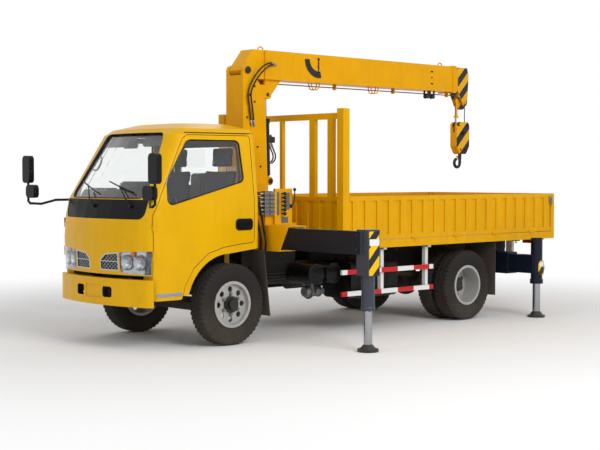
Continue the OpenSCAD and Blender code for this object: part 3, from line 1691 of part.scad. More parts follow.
// Rear twin wheels around the Y axis, outside at +Y
module twin_wheel() {
  difference() {
    union() {
      for (s = [-1, 1])
        translate([0, s * twin_pitch / 2, 0]) rim_barrel();
      rotate([0, 180 / hand_holes, 0]) wheel_disc(-disc_t / 2);
      for (s = [-1, 1])
        difference() {
          bar_y(0, min(0, s * twin_pitch / 2), max(0, s * twin_pitch / 2), 0, seat_d / 2);
          bar_y(0, -twin_pitch, twin_pitch, 0, seat_d / 2 - rim_wall);
        }
      bar_y(0, -drum_l / 2, cap_l, 0, hub_d / 2);
      bar_y(0, -drum_l - disc_t, -disc_t * 2, 0, drum_d / 2);
      bar_y(0, 0, rear_cap_l, 0, cap_d / 2);
    }
    bar_y(0, -twin_pitch, seat, 0, spindle_d / 2 + seat);
    bar_y(0, -twin_pitch, -drum_l / 2, 0, axle_tube_d / 2 + over / 4);
  }
}

module front_left() {
  placed() translate([0, front_track / 2, axle_z]) children();
}
module rear_left() {
  placed() translate([rear_x, rear_track / 2, axle_z]) children();
}
module twin_tyres() {
  for (s = [-1, 1])
    translate([0, s * twin_pitch / 2, 0]) tyre();
}

module front_left_tyre() {
  color("black") front_left() tyre();
}
module front_right_tyre() {
  color("black") mirror([0, 1, 0]) front_left() tyre();
}
module rear_left_tyres() {
  color("black") rear_left() twin_tyres();
}
module rear_right_tyres() {
  color("black") mirror([0, 1, 0]) rear_left() twin_tyres();
}
module front_left_wheel() {
  color("silver") front_left() front_wheel();
}
module front_right_wheel() {
  color("silver") mirror([0, 1, 0]) front_left() front_wheel();
}
module rear_left_wheels() {
  color("silver") rear_left() twin_wheel();
}
module rear_right_wheels() {
  color("silver") mirror([0, 1, 0]) rear_left() twin_wheel();
}

// Front beam with its leg housing; side 1 runs in the front lane, -1 in the rear one
module front_leg(lane) {
  x = -leg_x + lane * (jack_beam_w / 2 + slide_gap / 2);
  difference() {
    union() {
      box([x - jack_beam_w / 2 + slide_gap / 2, jack_beam_in, jack_beam_z],
        [x + jack_beam_w / 2 - slide_gap / 2, leg_y, jack_beam_z + jack_beam_h]);
      box([-leg_x - leg_w / 2, leg_y - leg_w / 2, leg_z], [-leg_x + leg_w / 2, leg_y + leg_w / 2, leg_top]);
      bar_z(-leg_x, leg_y, leg_low, leg_z + over, leg_d / 2);
    }
    bar_z(-leg_x, leg_y, leg_low - over, leg_top - over, leg_rod_d / 2 + seat);
  }
}

// Rear beam with its leg
module rear_leg() {
  difference() {
    union() {
      box([-rear_leg_x - rear_beam_w / 2, rear_beam_in, rear_beam_z],
        [-rear_leg_x + rear_beam_w / 2, rear_leg_y, rear_beam_z + rear_beam_h]);
      bar_z(-rear_leg_x, rear_leg_y, rear_leg_low, rear_leg_top, rear_leg_d / 2);
    }
    bar_z(-rear_leg_x, rear_leg_y, rear_leg_low - over, rear_leg_top - over, rear_rod_d / 2 + seat);
  }
}

// Jack rod of diameter d up to z on its foot
module jack(x, y, d, z) {
  bar_z(x, y, 0, foot_h, foot_d / 2);
  translate([x, y, foot_h]) cylinder(h = foot_neck, r1 = foot_d * neck_share, r2 = d / 2);
  bar_z(x, y, foot_h, z, d / 2);
}

module front_left_beam() {
  color("darkslateblue") placed() front_leg(1);
}
module front_right_beam() {
  color("darkslateblue") placed() mirror([0, 1, 0]) front_leg(-1);
}
module rear_left_beam() {
  color("darkslateblue") placed() rear_leg();
}
module rear_right_beam() {
  color("darkslateblue") placed() mirror([0, 1, 0]) rear_leg();
}
module front_left_jack() {
  color("silver") placed() jack(-leg_x, leg_y, leg_rod_d, leg_z);
}
module front_right_jack() {
  color("silver") placed() jack(-leg_x, -leg_y, leg_rod_d, leg_z);
}
module rear_left_jack() {
  color("silver") placed() jack(-rear_leg_x, rear_leg_y, rear_rod_d, rear_beam_z + over);
}
module rear_right_jack() {
  color("silver") placed() jack(-rear_leg_x, -rear_leg_y, rear_rod_d, rear_beam_z + over);
}

// Slewing column: box, cheeks for the boom pin and lugs for the cylinder
module column() {
  foot = ring_z + seat;
  body = [[-column_foot, foot + column_flange], [-column_nose, foot + column_flange],
    [-column_nose, column_top], [-column_head, column_top]];
  cheek = [[-column_head, column_top - over * 2], [-column_nose, column_top - over * 2],
    [-column_nose, pin_z], [-pin_x - cheek_r, pin_z]];
  color("gold") placed() difference() {
    union() {
      slab_y(body, -column_y, column_y);
      difference() {
        bar_z(-slew_x, 0, foot, foot + column_flange + seat, ring_d / 2);
        bar_y(-low_pin_x, -lug_gap, lug_gap, low_pin_z, lug_r + clear);
      }
      both() {
        slab_y(cheek, column_y - cheek_t, column_y);
        bar_y(-pin_x, column_y - cheek_t, column_y, pin_z, cheek_r);
        bar_y(-low_pin_x, lug_gap, lug_gap + lug_t, low_pin_z, lug_r);
        box([-low_pin_x, lug_gap, low_pin_z - lug_r], [-column_head, lug_gap + lug_t, low_pin_z + lug_r]);
      }
      box([-column_nose - front_plate_t, -column_y, column_top - over],
        [-column_nose, column_y, front_plate_top]);
      bar_y(-low_pin_x, -lug_gap - lug_t - pin_out, lug_gap + lug_t + pin_out, low_pin_z, ram_pin_d / 2);
    }
    bar_y(-pin_x, -far, far, pin_z, pin_d / 2 + seat);
  }
}

// Hollow rectangular section along X
module section(x0, x1, y, z, h, wall) {
  difference() {
    box([x0, -y, z], [x1, y, z + h]);
    box([x0 - over, -y + wall, z + wall], [x1 + over, y - wall, z + h - wall]);
  }
}

// Collar around a section's mouth at x
module collar(x, y, z, h) {
  difference() {
    box([x, -y - collar_t, z - collar_t], [x + collar_l, y + collar_t, z + h + collar_t]);
    box([x - over, -y + seat, z + seat], [x + collar_l + over, y - seat, z + h - seat]);
  }
}

// Wear pads inside a mouth at x that leave a small running gap round the next section
module pads(x, y, z, h) {
  for (s = [-1, 1]) {
    translate([0, s * (y + seat + (boom_gap - seat) / 2), 0])
      box([x, -(boom_gap - seat) / 2, z + h / 2 - pad_w / 2],
        [x + pad_l, (boom_gap - seat) / 2, z + h / 2 + pad_w / 2]);
    translate([0, s * y / 2, 0]) {
      box([x, -pad_w / 2, z - boom_gap], [x + pad_l, pad_w / 2, z - seat]);
      box([x, -pad_w / 2, z + h + seat], [x + pad_l, pad_w / 2, z + h + boom_gap]);
    }
  }
}

// Outer boom section with its root, pin, cylinder lugs and rope guides
module boom_outer() {
  root = [[-boom_root - over, boom_z], [-pin_x - cheek_r * 2, boom_z], [-pin_x, pin_z - root_r],
    [-pin_x + root_r, pin_z], [-pin_x + root_r / 2, pin_z + root_r], [-pin_x - cheek_r * 2, boom_top],
    [-boom_root - over, boom_top]];
  lug = [[-high_pin_x - lug_r, high_pin_z], [-high_pin_x + lug_r, high_pin_z],
    [-high_pin_x + lug_r, boom_z + boom_wall / 2], [-high_pin_x - lug_r * 4, boom_z + boom_wall / 2]];
  color("gold") placed() {
    section(-boom_mouth, -boom_root, boom_y, boom_z, boom_h, boom_wall);
    collar(-boom_mouth, boom_y, boom_z, boom_h);
    pads(-boom_mouth, mid_y, mid_z, mid_h);
    slab_y(root, -root_y, root_y);
    box([-boom_root - boom_wall, -boom_y, boom_z], [-boom_root, boom_y, boom_top]);
    bar_y(-pin_x, -column_y - pin_out, column_y + pin_out, pin_z, pin_d / 2);
    both() difference() {
      union() {
        slab_y(lug, lug_gap, lug_gap + lug_t);
        bar_y(-high_pin_x, lug_gap, lug_gap + lug_t, high_pin_z, lug_r);
      }
      bar_y(-high_pin_x, -far, far, high_pin_z, ram_pin_d / 2);
    }
    for (k = [0:rope_guides])
      translate([-inner_root - over - (boom_mouth - inner_root - over * 2) * k / rope_guides, 0, 0])
        rope_guide();
  }
}

// One guide that holds the rope under the boom
module rope_guide() {
  difference() {
    box([-guide_t / 2, -guide_w / 2, rope_z - guide_w / 2],
      [guide_t / 2, guide_w / 2, boom_z + boom_wall / 2]);
    bar_x(-over, over, 0, rope_z, rope_d / 2 + seat);
  }
}

// Middle boom section
module boom_middle() {
  color("gold") placed() {
    section(-mid_mouth, -inner_root, mid_y, mid_z, mid_h, inner_wall);
    translate([-mid_mouth, 0, 0]) collar_ring(mid_y, mid_z, mid_h);
    pads(-mid_mouth, tip_y, tip_z, tip_h);
  }
}

// Thin collar that stays clear of the section before it
module collar_ring(y, z, h) {
  l = mid_reach - boom_gap;
  difference() {
    box([0, -y - collar_t, z - collar_t], [l, y + collar_t, z + h + collar_t]);
    box([-over, -y + seat, z + seat], [l + over, y - seat, z + h - seat]);
  }
}

// Inner boom section with its head and sheave
module boom_inner() {
  l = head_l;
  h = boom_top - head_z + sheave_d / 4;
  z0 = head_z - sheave_d / 4;
  pts = [for (s = head_shares) [-tip_mouth - s.x * l, z0 + s.y * h]];
  color("gold") placed() {
    section(-tip_mouth - over, -inner_root - over, tip_y, tip_z, tip_h, inner_wall);
    both() slab_y(pts, tip_y - head_t, tip_y);
    box([-tip_mouth - l * brow_share, -tip_y, boom_top - head_t], [-tip_mouth, tip_y, boom_top]);
    box([-tip_mouth - head_t, -tip_y, tip_z], [-tip_mouth, tip_y, boom_top]);
    bar_y(-head_x, -tip_y - pin_out, tip_y + pin_out, head_z, head_pin_d / 2);
    bar_y(-head_x, -sheave_w / 2, sheave_w / 2, head_z, sheave_d / 2);
  }
}

// Lifting cylinder stands at the origin with its lower pin and leans into place
module ram() {
  placed() translate([-low_pin_x, 0, low_pin_z]) rotate([0, ram_lean, 0]) children();
}

// Barrel of the lifting cylinder
module lift_barrel() {
  color("gold") ram() difference() {
    union() {
      bar_y(0, -eye_half, eye_half, 0, lug_r - run);
      cylinder(h = barrel_l, d = barrel_d);
      translate([0, 0, barrel_l - gland_l]) cylinder(h = gland_l, d = gland_d);
    }
    bar_y(0, -far, far, 0, ram_pin_d / 2 + seat);
    difference() {
      translate([0, 0, -barrel_d]) cylinder(h = barrel_d + lug_r + slide_gap * 2, d = barrel_d * 2);
      bar_y(0, -eye_half, eye_half, 0, lug_r - run);
      cylinder(h = barrel_d, d = eye_half * 2);
    }
    translate([0, 0, rod_start - clear]) cylinder(h = barrel_l, d = lift_rod_d + seat * 2);
  }
}

// Rod of the lifting cylinder with its eye
module lift_rod() {
  color("silver") ram() difference() {
    union() {
      translate([0, 0, rod_start]) cylinder(h = ram_len - rod_start, d = lift_rod_d);
      bar_y(0, -eye_half, eye_half, ram_len, lug_r - run);
    }
    bar_y(0, -far, far, ram_len, ram_pin_d / 2);
  }
}

// Rope in its guides under the boom
module hoist_rope() {
  color("dimgray") placed() bar_x(-boom_mouth, -inner_root, 0, rope_z, rope_d / 2);
}

// Falls of rope between the head sheave and the block
module rope_falls() {
  r = sheave_d / 2 + rope_d / 2 + seat;
  color("dimgray") placed()
    for (s = [-1, 1])
      bar_z(-head_x + s * r, 0, block_top - block_h / 3 + seat, head_z, rope_d / 2);
}

// Hook block with a slot for the rope falls
module hook_block() {
  x0 = -head_x - block_l / 2;
  x1 = -head_x + block_l / 2;
  z0 = block_top - block_h;
  color("gold") placed() difference() {
    union() {
      slab_y(rounded([[x0, z0 + block_h / 4, block_r], [x0 + block_l / 4, z0, block_r],
        [x1 - block_l / 4, z0, block_r], [x1, z0 + block_h / 4, block_r], [x1, block_top, block_r],
        [x0, block_top, block_r]]), -block_w / 2, block_w / 2);
    }
    box([x0 - over, -block_slot / 2, block_top - block_h / 3], [x1 + over, block_slot / 2, block_top + over]);
    bar_z(-head_x, 0, z0 - over, z0 + shank_l, shank_d / 2 + seat);
  }
}

// Hook on its shank
module hook() {
  z0 = block_top - block_h;
  low = z0 - shank_l - hook_bend - hook_t / 2;
  color("dimgray") placed() translate([-head_x, 0, 0]) {
    bar_z(0, 0, low + hook_bend, z0 + shank_l - seat, shank_d / 2 - seat);
    translate([hook_bend, 0, low]) rotate([90, 0, 0])
      rotate([0, 0, 180]) rotate_extrude(angle = hook_turn) translate([hook_bend, 0]) circle(d = hook_t);
    bar_z(0, 0, low, low + hook_bend, hook_t / 2);
  }
}

frame_rails();
cross_members();
axles();
leaf_springs();
driveline();
tanks();
guards();
mud_flaps();
cab_shell();
cowl_panel();
bumper();
lamps();
grilles();
cab_glass();
cab_interior();
mirrors();
bed_floor();
bed_bearers();
head_frame();
crane_base();
rear_jack_boxes();
control_stations();
left_door();
right_door();
left_door_glass();
right_door_glass();
left_board();
right_board();
tail_board();
left_knuckle();
right_knuckle();
front_left_tyre();
front_right_tyre();
rear_left_tyres();
rear_right_tyres();
front_left_wheel();
front_right_wheel();
rear_left_wheels();
rear_right_wheels();
front_left_beam();
front_right_beam();
rear_left_beam();
rear_right_beam();
front_left_jack();
front_right_jack();
rear_left_jack();
rear_right_jack();
column();
boom_outer();
boom_middle();
boom_inner();
lift_barrel();
lift_rod();
hoist_rope();
hook_block();
rope_falls();
hook();
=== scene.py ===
"""Looks of a light truck with a telescopic loading crane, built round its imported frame.

Every mesh is made in the row frame: metres, +X to the front, +Y to the left, the ground at Z = 0.
Places along the truck are given from the front axle, whose X comes from the frame.
"""

from __future__ import annotations

import json
import logging
import math
from dataclasses import dataclass, field
from enum import Enum
from typing import Callable, Iterable, Sequence

import bmesh
import bpy
from mathutils import Matrix, Vector
from mathutils.bvhtree import BVHTree

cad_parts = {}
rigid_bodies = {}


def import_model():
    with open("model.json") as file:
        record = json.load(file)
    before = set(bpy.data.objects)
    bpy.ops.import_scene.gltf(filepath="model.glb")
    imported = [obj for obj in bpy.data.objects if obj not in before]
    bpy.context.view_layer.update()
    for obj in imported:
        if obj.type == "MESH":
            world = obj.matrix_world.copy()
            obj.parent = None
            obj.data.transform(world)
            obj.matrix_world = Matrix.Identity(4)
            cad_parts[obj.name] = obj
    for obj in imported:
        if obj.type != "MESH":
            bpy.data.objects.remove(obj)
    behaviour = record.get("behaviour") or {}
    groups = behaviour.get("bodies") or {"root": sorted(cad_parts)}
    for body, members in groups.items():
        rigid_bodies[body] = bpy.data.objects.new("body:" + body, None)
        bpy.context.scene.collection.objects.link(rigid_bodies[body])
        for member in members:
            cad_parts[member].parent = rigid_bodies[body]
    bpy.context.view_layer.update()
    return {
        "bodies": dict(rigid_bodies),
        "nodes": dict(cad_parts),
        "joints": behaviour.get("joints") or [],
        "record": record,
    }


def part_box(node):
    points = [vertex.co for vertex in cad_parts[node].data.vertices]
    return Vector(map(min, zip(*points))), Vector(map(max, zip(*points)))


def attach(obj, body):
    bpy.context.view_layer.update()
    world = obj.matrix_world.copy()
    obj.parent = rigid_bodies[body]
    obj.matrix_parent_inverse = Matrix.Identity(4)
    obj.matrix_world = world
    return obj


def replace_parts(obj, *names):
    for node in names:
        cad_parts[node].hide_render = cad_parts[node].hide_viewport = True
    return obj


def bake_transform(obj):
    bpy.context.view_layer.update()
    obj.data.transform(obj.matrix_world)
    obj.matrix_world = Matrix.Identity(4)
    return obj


LOG = logging.getLogger("crane_truck")

Colour = tuple[float, float, float]
Pair = tuple[float, float]
Point = tuple[float, float, float]
Line = tuple[Pair, ...]
FaceTest = Callable[[Vector, Vector], bool]
Socket = bpy.types.NodeSocket
Tree = bpy.types.NodeTree

AHEAD = Vector((1, 0, 0))
LEFT = Vector((0, 1, 0))
UP = Vector((0, 0, 1))


def srgb(red: int, green: int, blue: int) -> Colour:
    """Turns a colour of 0 to 255 per channel into linear light.

    Args:
        red: Red channel.
        green: Green channel.
        blue: Blue channel.

    Returns:
        The same colour as three linear shares.
    """
    shares = [channel / 255 for channel in (red, green, blue)]
    return tuple(c / 12.92 if c <= 0.04045 else ((c + 0.055) / 1.055) ** 2.4 for c in shares)


class Wiring:
    """Adds nodes to one node tree and joins their sockets."""

    def __init__(self, tree: Tree) -> None:
        """Keeps the tree that the nodes go into."""
        self.tree = tree

    def put(self, socket: Socket, value: object) -> None:
        """Joins another socket to this one, or sets its own value.

        Args:
            socket: Input socket.
            value: Output socket, number, vector or colour.
        """
        if isinstance(value, Socket):
            self.tree.links.new(value, socket)
        else:
            socket.default_value = value

    def node(self, kind: str, inputs: dict[str, object], **settings: object) -> bpy.types.Node:
        """Adds one node.

        Args:
            kind: Blender's name of the node type.
            inputs: Values or sockets by input name.
            **settings: Properties of the node.

        Returns:
            The new node.
        """
        made = self.tree.nodes.new(kind)
        for name, value in settings.items():
            setattr(made, name, value)
        for name, value in inputs.items():
            self.put(made.inputs[name], value)
        return made

    def math(self, operation: str, *values: object, clamp: bool = False) -> Socket:
        """Adds a math node.

        Args:
            operation: Blender's name of the operation.
            *values: Numbers or sockets.
            clamp: Keeps the result between 0 and 1.

        Returns:
            The result's socket.
        """
        made = self.tree.nodes.new("ShaderNodeMath")
        made.operation = operation
        made.use_clamp = clamp
        for socket, value in zip(made.inputs, values):
            self.put(socket, value)
        return made.outputs[0]

    def vector(self, operation: str, first: object, second: object) -> bpy.types.Node:
        """Adds a vector math node.

        Args:
            operation: Blender's name of the operation.
            first: First vector or socket.
            second: Second vector or socket.

        Returns:
            The new node.
        """
        made = self.tree.nodes.new("ShaderNodeVectorMath")
        made.operation = operation
        self.put(made.inputs[0], first)
        self.put(made.inputs[1], second)
        return made

    def mix(self, share: object, first: object, second: object) -> Socket:
        """Mixes two colours.

        Args:
            share: Share of the second colour.
            first: First colour or socket.
            second: Second colour or socket.

        Returns:
            The mixed colour's socket.
        """
        made = self.tree.nodes.new("ShaderNodeMix")
        made.data_type = "RGBA"
        for index, value in ((0, share), (6, first), (7, second)):
            self.put(made.inputs[index], (*value, 1.0) if isinstance(value, tuple) else value)
        return made.outputs[2]

    def bump(self, source: bpy.types.Node, height: float, strength: float) -> Socket:
        """Turns a group's height into a bent normal.

        Args:
            source: Node of a group that puts out a height.
            height: Depth of the relief in metres.
            strength: Share of the relief that shows.

        Returns:
            Socket of the bent normal.
        """
        inputs = {"Strength": strength, "Distance": height, "Height": source.outputs["Height"]}
        return self.node("ShaderNodeBump", inputs).outputs["Normal"]

    def group(self, tree: Tree, **inputs: object) -> bpy.types.Node:
        """Places a node group with its own values.

        Args:
            tree: The shared group.
            **inputs: Values or sockets by input name.

        Returns:
            The group's node.
        """
        made = self.tree.nodes.new("ShaderNodeGroup")
        made.node_tree = tree
        for name, value in inputs.items():
            self.put(made.inputs[name], value)
        return made


class Effects:
    """Shader node groups that the finishes share. Scales count spots per metre."""

    NOISE_SPAN: Pair = (0.3, 0.7)
    TOP_DUST: float = 0.35
    CLOUD_SCALE: float = 3.0
    SPECK_SCALE: float = 46.0
    CHIP_SCALE: float = 34.0
    RUN_SCALE: Point = (22.0, 22.0, 1.4)

    def __init__(self) -> None:
        """Builds every group once."""
        self.mottle = self._mottle()
        self.dust = self._dust()
        self.wear = self._wear()
        self.runs = self._runs()
        self.grain = self._grain()
        self.bands = self._bands()
        self.weave = self._weave()

    @staticmethod
    def _start(name: str, inputs: dict[str, str], output: str) -> tuple:
        """Starts a group with named sockets.

        Args:
            name: Name of the group.
            inputs: Socket kind by input name.
            output: Name of its one output.

        Returns:
            The group, its wiring, its inputs by name and the socket that its result goes into.
        """
        tree = bpy.data.node_groups.new(name, "ShaderNodeTree")
        for label, kind in inputs.items():
            tree.interface.new_socket(name=label, in_out="INPUT", socket_type="NodeSocket" + kind)
        tree.interface.new_socket(name=output, in_out="OUTPUT", socket_type="NodeSocketFloat")
        given = tree.nodes.new("NodeGroupInput").outputs
        return tree, Wiring(tree), given, tree.nodes.new("NodeGroupOutput").inputs[output]

    @staticmethod
    def _place(wiring: Wiring) -> Socket:
        """Gives the point on the piece, which stays with it when it moves."""
        return wiring.node("ShaderNodeTexCoord", {}).outputs["Object"]

    def _noise(
        self, wiring: Wiring, scale: object, detail: float, place: object = None
    ) -> Socket:
        """Adds noise spread over the full range from 0 to 1.

        Args:
            wiring: Wiring of the group.
            scale: Spots per metre.
            detail: Octaves of the noise.
            place: Point to read the noise at, or None for the point on the piece.

        Returns:
            Socket of the noise.
        """
        noise = wiring.node(
            "ShaderNodeTexNoise",
            {"Vector": place or self._place(wiring), "Scale": scale, "Detail": detail, "Roughness": 0.6},
        )
        least, most = self.NOISE_SPAN
        inputs = {"Value": noise.outputs["Fac"], "From Min": least, "From Max": most}
        return wiring.node("ShaderNodeMapRange", inputs).outputs["Result"]

    def _mottle(self) -> Tree:
        """Builds slow spots in a colour.

        Returns:
            The group.
        """
        tree, wiring, given, out = self._start("Mottle", {"Scale": "Float"}, "Mask")
        wiring.put(out, self._noise(wiring, given["Scale"], 5.0))
        return tree

    def _dust(self) -> Tree:
        """Builds road dust that thins out with height and settles on flat tops.

        Returns:
            The group.
        """
        tree, wiring, given, out = self._start("Road dust", {"Reach": "Float", "Amount": "Float"}, "Mask")
        parts = wiring.node("ShaderNodeSeparateXYZ", {"Vector": self._place(wiring)})
        fall = wiring.node(
            "ShaderNodeMapRange",
            {"Value": parts.outputs["Z"], "From Max": given["Reach"], "To Min": 1.0, "To Max": 0.0},
            interpolation_type="SMOOTHSTEP",
        )
        normal = wiring.node("ShaderNodeNewGeometry", {}).outputs["Normal"]
        facing = wiring.node("ShaderNodeSeparateXYZ", {"Vector": normal})
        tops = wiring.math("MULTIPLY", wiring.math("MAXIMUM", facing.outputs["Z"], 0.0), self.TOP_DUST)
        settled = wiring.math("ADD", fall.outputs["Result"], tops)
        cloud = wiring.math("MULTIPLY_ADD", self._noise(wiring, self.CLOUD_SCALE, 8.0), 0.9, 0.25)
        speck = wiring.math("MULTIPLY_ADD", self._noise(wiring, self.SPECK_SCALE, 4.0), 0.5, 0.7)
        lying = wiring.math("MULTIPLY", wiring.math("MULTIPLY", settled, cloud), speck)
        wiring.put(out, wiring.math("MULTIPLY", lying, given["Amount"], clamp=True))
        return tree

    def _wear(self) -> Tree:
        """Builds paint rubbed through along edges.

        Returns:
            The group.
        """
        tree, wiring, given, out = self._start("Edge wear", {"Radius": "Float", "Amount": "Float"}, "Mask")
        soft = wiring.node("ShaderNodeBevel", {"Radius": given["Radius"]}, samples=4).outputs["Normal"]
        hard = wiring.node("ShaderNodeNewGeometry", {}).outputs["Normal"]
        dot = wiring.vector("DOT_PRODUCT", soft, hard)
        edge = wiring.math("SUBTRACT", 1.0, dot.outputs["Value"])
        spots = self._noise(wiring, self.CHIP_SCALE, 6.0)
        broken = wiring.math("MULTIPLY", wiring.math("MULTIPLY", edge, 5.0), spots)
        bare = wiring.math("MULTIPLY", wiring.math("SUBTRACT", broken, 0.2), 3.0, clamp=True)
        wiring.put(out, wiring.math("MULTIPLY", bare, given["Amount"]))
        return tree

    def _runs(self) -> Tree:
        """Builds faint marks of rain that ran down.

        Returns:
            The group.
        """
        tree, wiring, given, out = self._start("Rain runs", {"Amount": "Float"}, "Mask")
        inputs = {"Vector": self._place(wiring), "Scale": self.RUN_SCALE}
        squeezed = wiring.node("ShaderNodeMapping", inputs)
        runs = self._noise(wiring, 1.0, 6.0, squeezed.outputs["Vector"])
        sharp = wiring.math("POWER", runs, 3.0)
        wiring.put(out, wiring.math("MULTIPLY", sharp, given["Amount"]))
        return tree

    def _grain(self) -> Tree:
        """Builds the fine surface of paint, casting, plastic or rubber.

        Returns:
            The group.
        """
        tree, wiring, given, out = self._start("Grain", {"Scale": "Float", "Stretch": "Vector"}, "Height")
        stretched = wiring.vector("MULTIPLY", self._place(wiring), given["Stretch"])
        wiring.put(out, self._noise(wiring, given["Scale"], 3.0, stretched.outputs[0]))
        return tree

    def _bands(self) -> Tree:
        """Builds straight painted bands.

        Returns:
            The group.
        """
        sockets = {"Direction": "Vector", "Pitch": "Float", "Shift": "Float", "Share": "Float"}
        tree, wiring, given, out = self._start("Bands", sockets, "Mask")
        dot = wiring.vector("DOT_PRODUCT", self._place(wiring), given["Direction"])
        pitches = wiring.math("DIVIDE", dot.outputs["Value"], given["Pitch"])
        turns = wiring.math("ADD", pitches, given["Shift"])
        wiring.put(out, wiring.math("LESS_THAN", wiring.math("FRACT", turns), given["Share"]))
        return tree

    def _weave(self) -> Tree:
        """Builds the threads of a woven cover or the lay of a wire rope.

        Returns:
            The group.
        """
        sockets = {"Scale": "Float", "Warp": "Vector", "Weft": "Vector"}
        tree, wiring, given, out = self._start("Weave", sockets, "Height")
        waves = []
        for name in ("Warp", "Weft"):
            dot = wiring.vector("DOT_PRODUCT", self._place(wiring), given[name])
            threads = wiring.math("MULTIPLY", dot.outputs["Value"], given["Scale"])
            waves.append(wiring.math("SINE", threads))
        wiring.put(out, wiring.math("MULTIPLY", *waves))
        return tree


class Grain(Enum):
    """Fine surface of a finish: spots per metre, height in metres and stretch along each axis."""

    PEEL = (330.0, 0.00022, (1.0, 1.0, 1.0))
    CAST = (150.0, 0.0011, (1.0, 1.0, 1.0))
    MOULDED = (620.0, 0.0003, (1.0, 1.0, 1.0))
    RUBBER = (240.0, 0.0007, (1.0, 1.0, 1.0))
    POLISHED = (60.0, 0.00004, (4.0, 4.0, 0.4))
    FLUTED = (36.0, 0.0012, (0.05, 1.0, 0.05))
    WOVEN = (2200.0, 0.0006, (0.0, 0.0, 0.0))
    LAID = (700.0, 0.0012, (0.0, 0.0, 0.0))


@dataclass(frozen=True)
class Bands:
    """Painted bands across a finish: pitch in metres, shift and share as parts of the pitch."""

    colour: Colour
    direction: Point
    pitch: float
    shift: float = 0.0
    share: float = 0.5


DUST = srgb(150, 136, 116)
STEEL = srgb(120, 118, 116)
RUST = srgb(96, 62, 40)
BAND_BLACK = srgb(34, 34, 36)
BAND_WHITE = srgb(232, 232, 230)
SLANT = (0.7071, 0.0, 0.7071)
SPOT_SCALE = 2.6
RUN_SHADE = 0.6
WEAR_RADIUS = 0.006
COAT_ROUGHNESS = 0.06
FILM_REACH = 2.4
GLASS_IOR = 1.45
GRAIN_STRENGTH = 0.6
FLUTE_STRENGTH = 0.5


@dataclass(frozen=True)
class Finish:
    """One painted, moulded, cast or woven surface.

    Dust, wear and runs are amounts. Reach is the height that dust climbs to, under is the colour below
    worn paint, tint is the share by which the colour varies, and shine is the level of its reflection.
    """

    name: str
    slot: str
    colour: Colour
    roughness: float = 0.45
    metallic: float = 0.0
    coat: float = 0.0
    dust: float = 0.3
    reach: float = 1.1
    wear: float = 0.0
    under: Colour = STEEL
    runs: float = 0.0
    grain: Grain = Grain.PEEL
    bands: Bands | None = None
    tint: float = 0.06
    shine: float = 0.22

    def material(self, effects: Effects) -> bpy.types.Material:
        """Builds the finish as a material.

        Args:
            effects: Shared node groups.

        Returns:
            The new material.
        """
        made = bpy.data.materials.new(self.name)
        made.use_nodes = True
        wiring = Wiring(made.node_tree)
        shader = made.node_tree.nodes["Principled BSDF"]
        spots = wiring.group(effects.mottle, Scale=SPOT_SCALE).outputs["Mask"]
        dark = tuple(c * (1 - self.tint) for c in self.colour)
        light = tuple(min(1.0, c * (1 + self.tint)) for c in self.colour)
        colour = wiring.mix(spots, dark, light)
        if self.bands:
            mask = wiring.group(
                effects.bands,
                Direction=self.bands.direction,
                Pitch=self.bands.pitch,
                Shift=self.bands.shift,
                Share=self.bands.share,
            )
            colour = wiring.mix(mask.outputs["Mask"], colour, self.bands.colour)
        if self.runs:
            runs = wiring.group(effects.runs, Amount=self.runs)
            colour = wiring.mix(runs.outputs["Mask"], colour, tuple(c * RUN_SHADE for c in self.colour))
        if self.wear:
            wear = wiring.group(effects.wear, Radius=WEAR_RADIUS, Amount=self.wear)
            colour = wiring.mix(wear.outputs["Mask"], colour, self.under)
        rough = wiring.math("MULTIPLY_ADD", spots, 0.1, self.roughness - 0.05)
        if self.dust:
            dust = wiring.group(effects.dust, Reach=self.reach, Amount=self.dust).outputs["Mask"]
            colour = wiring.mix(dust, colour, DUST)
            rough = wiring.math("MULTIPLY_ADD", dust, 0.4, rough, clamp=True)
        wiring.put(shader.inputs["Base Color"], colour)
        wiring.put(shader.inputs["Roughness"], rough)
        shader.inputs["Metallic"].default_value = self.metallic
        shader.inputs["Coat Weight"].default_value = self.coat
        shader.inputs["Coat Roughness"].default_value = COAT_ROUGHNESS
        shader.inputs["Specular IOR Level"].default_value = self.shine
        wiring.put(shader.inputs["Normal"], self._relief(wiring, effects))
        return made

    def _relief(self, wiring: Wiring, effects: Effects) -> Socket:
        """Adds the finish's fine relief.

        Args:
            wiring: Wiring of the material.
            effects: Shared node groups.

        Returns:
            Socket of the bent normal.
        """
        scale, height, stretch = self.grain.value
        if self.grain is Grain.WOVEN:
            source = wiring.group(effects.weave, Scale=scale, Warp=(1.0, 0.0, 0.35), Weft=(0.0, 1.0, 0.2))
        elif self.grain is Grain.LAID:
            source = wiring.group(effects.weave, Scale=scale, Warp=(0.5, 0.0, 0.5), Weft=(0.2, 0.9, 0.2))
        else:
            source = wiring.group(effects.grain, Scale=scale, Stretch=stretch)
        return wiring.bump(source, height, GRAIN_STRENGTH)


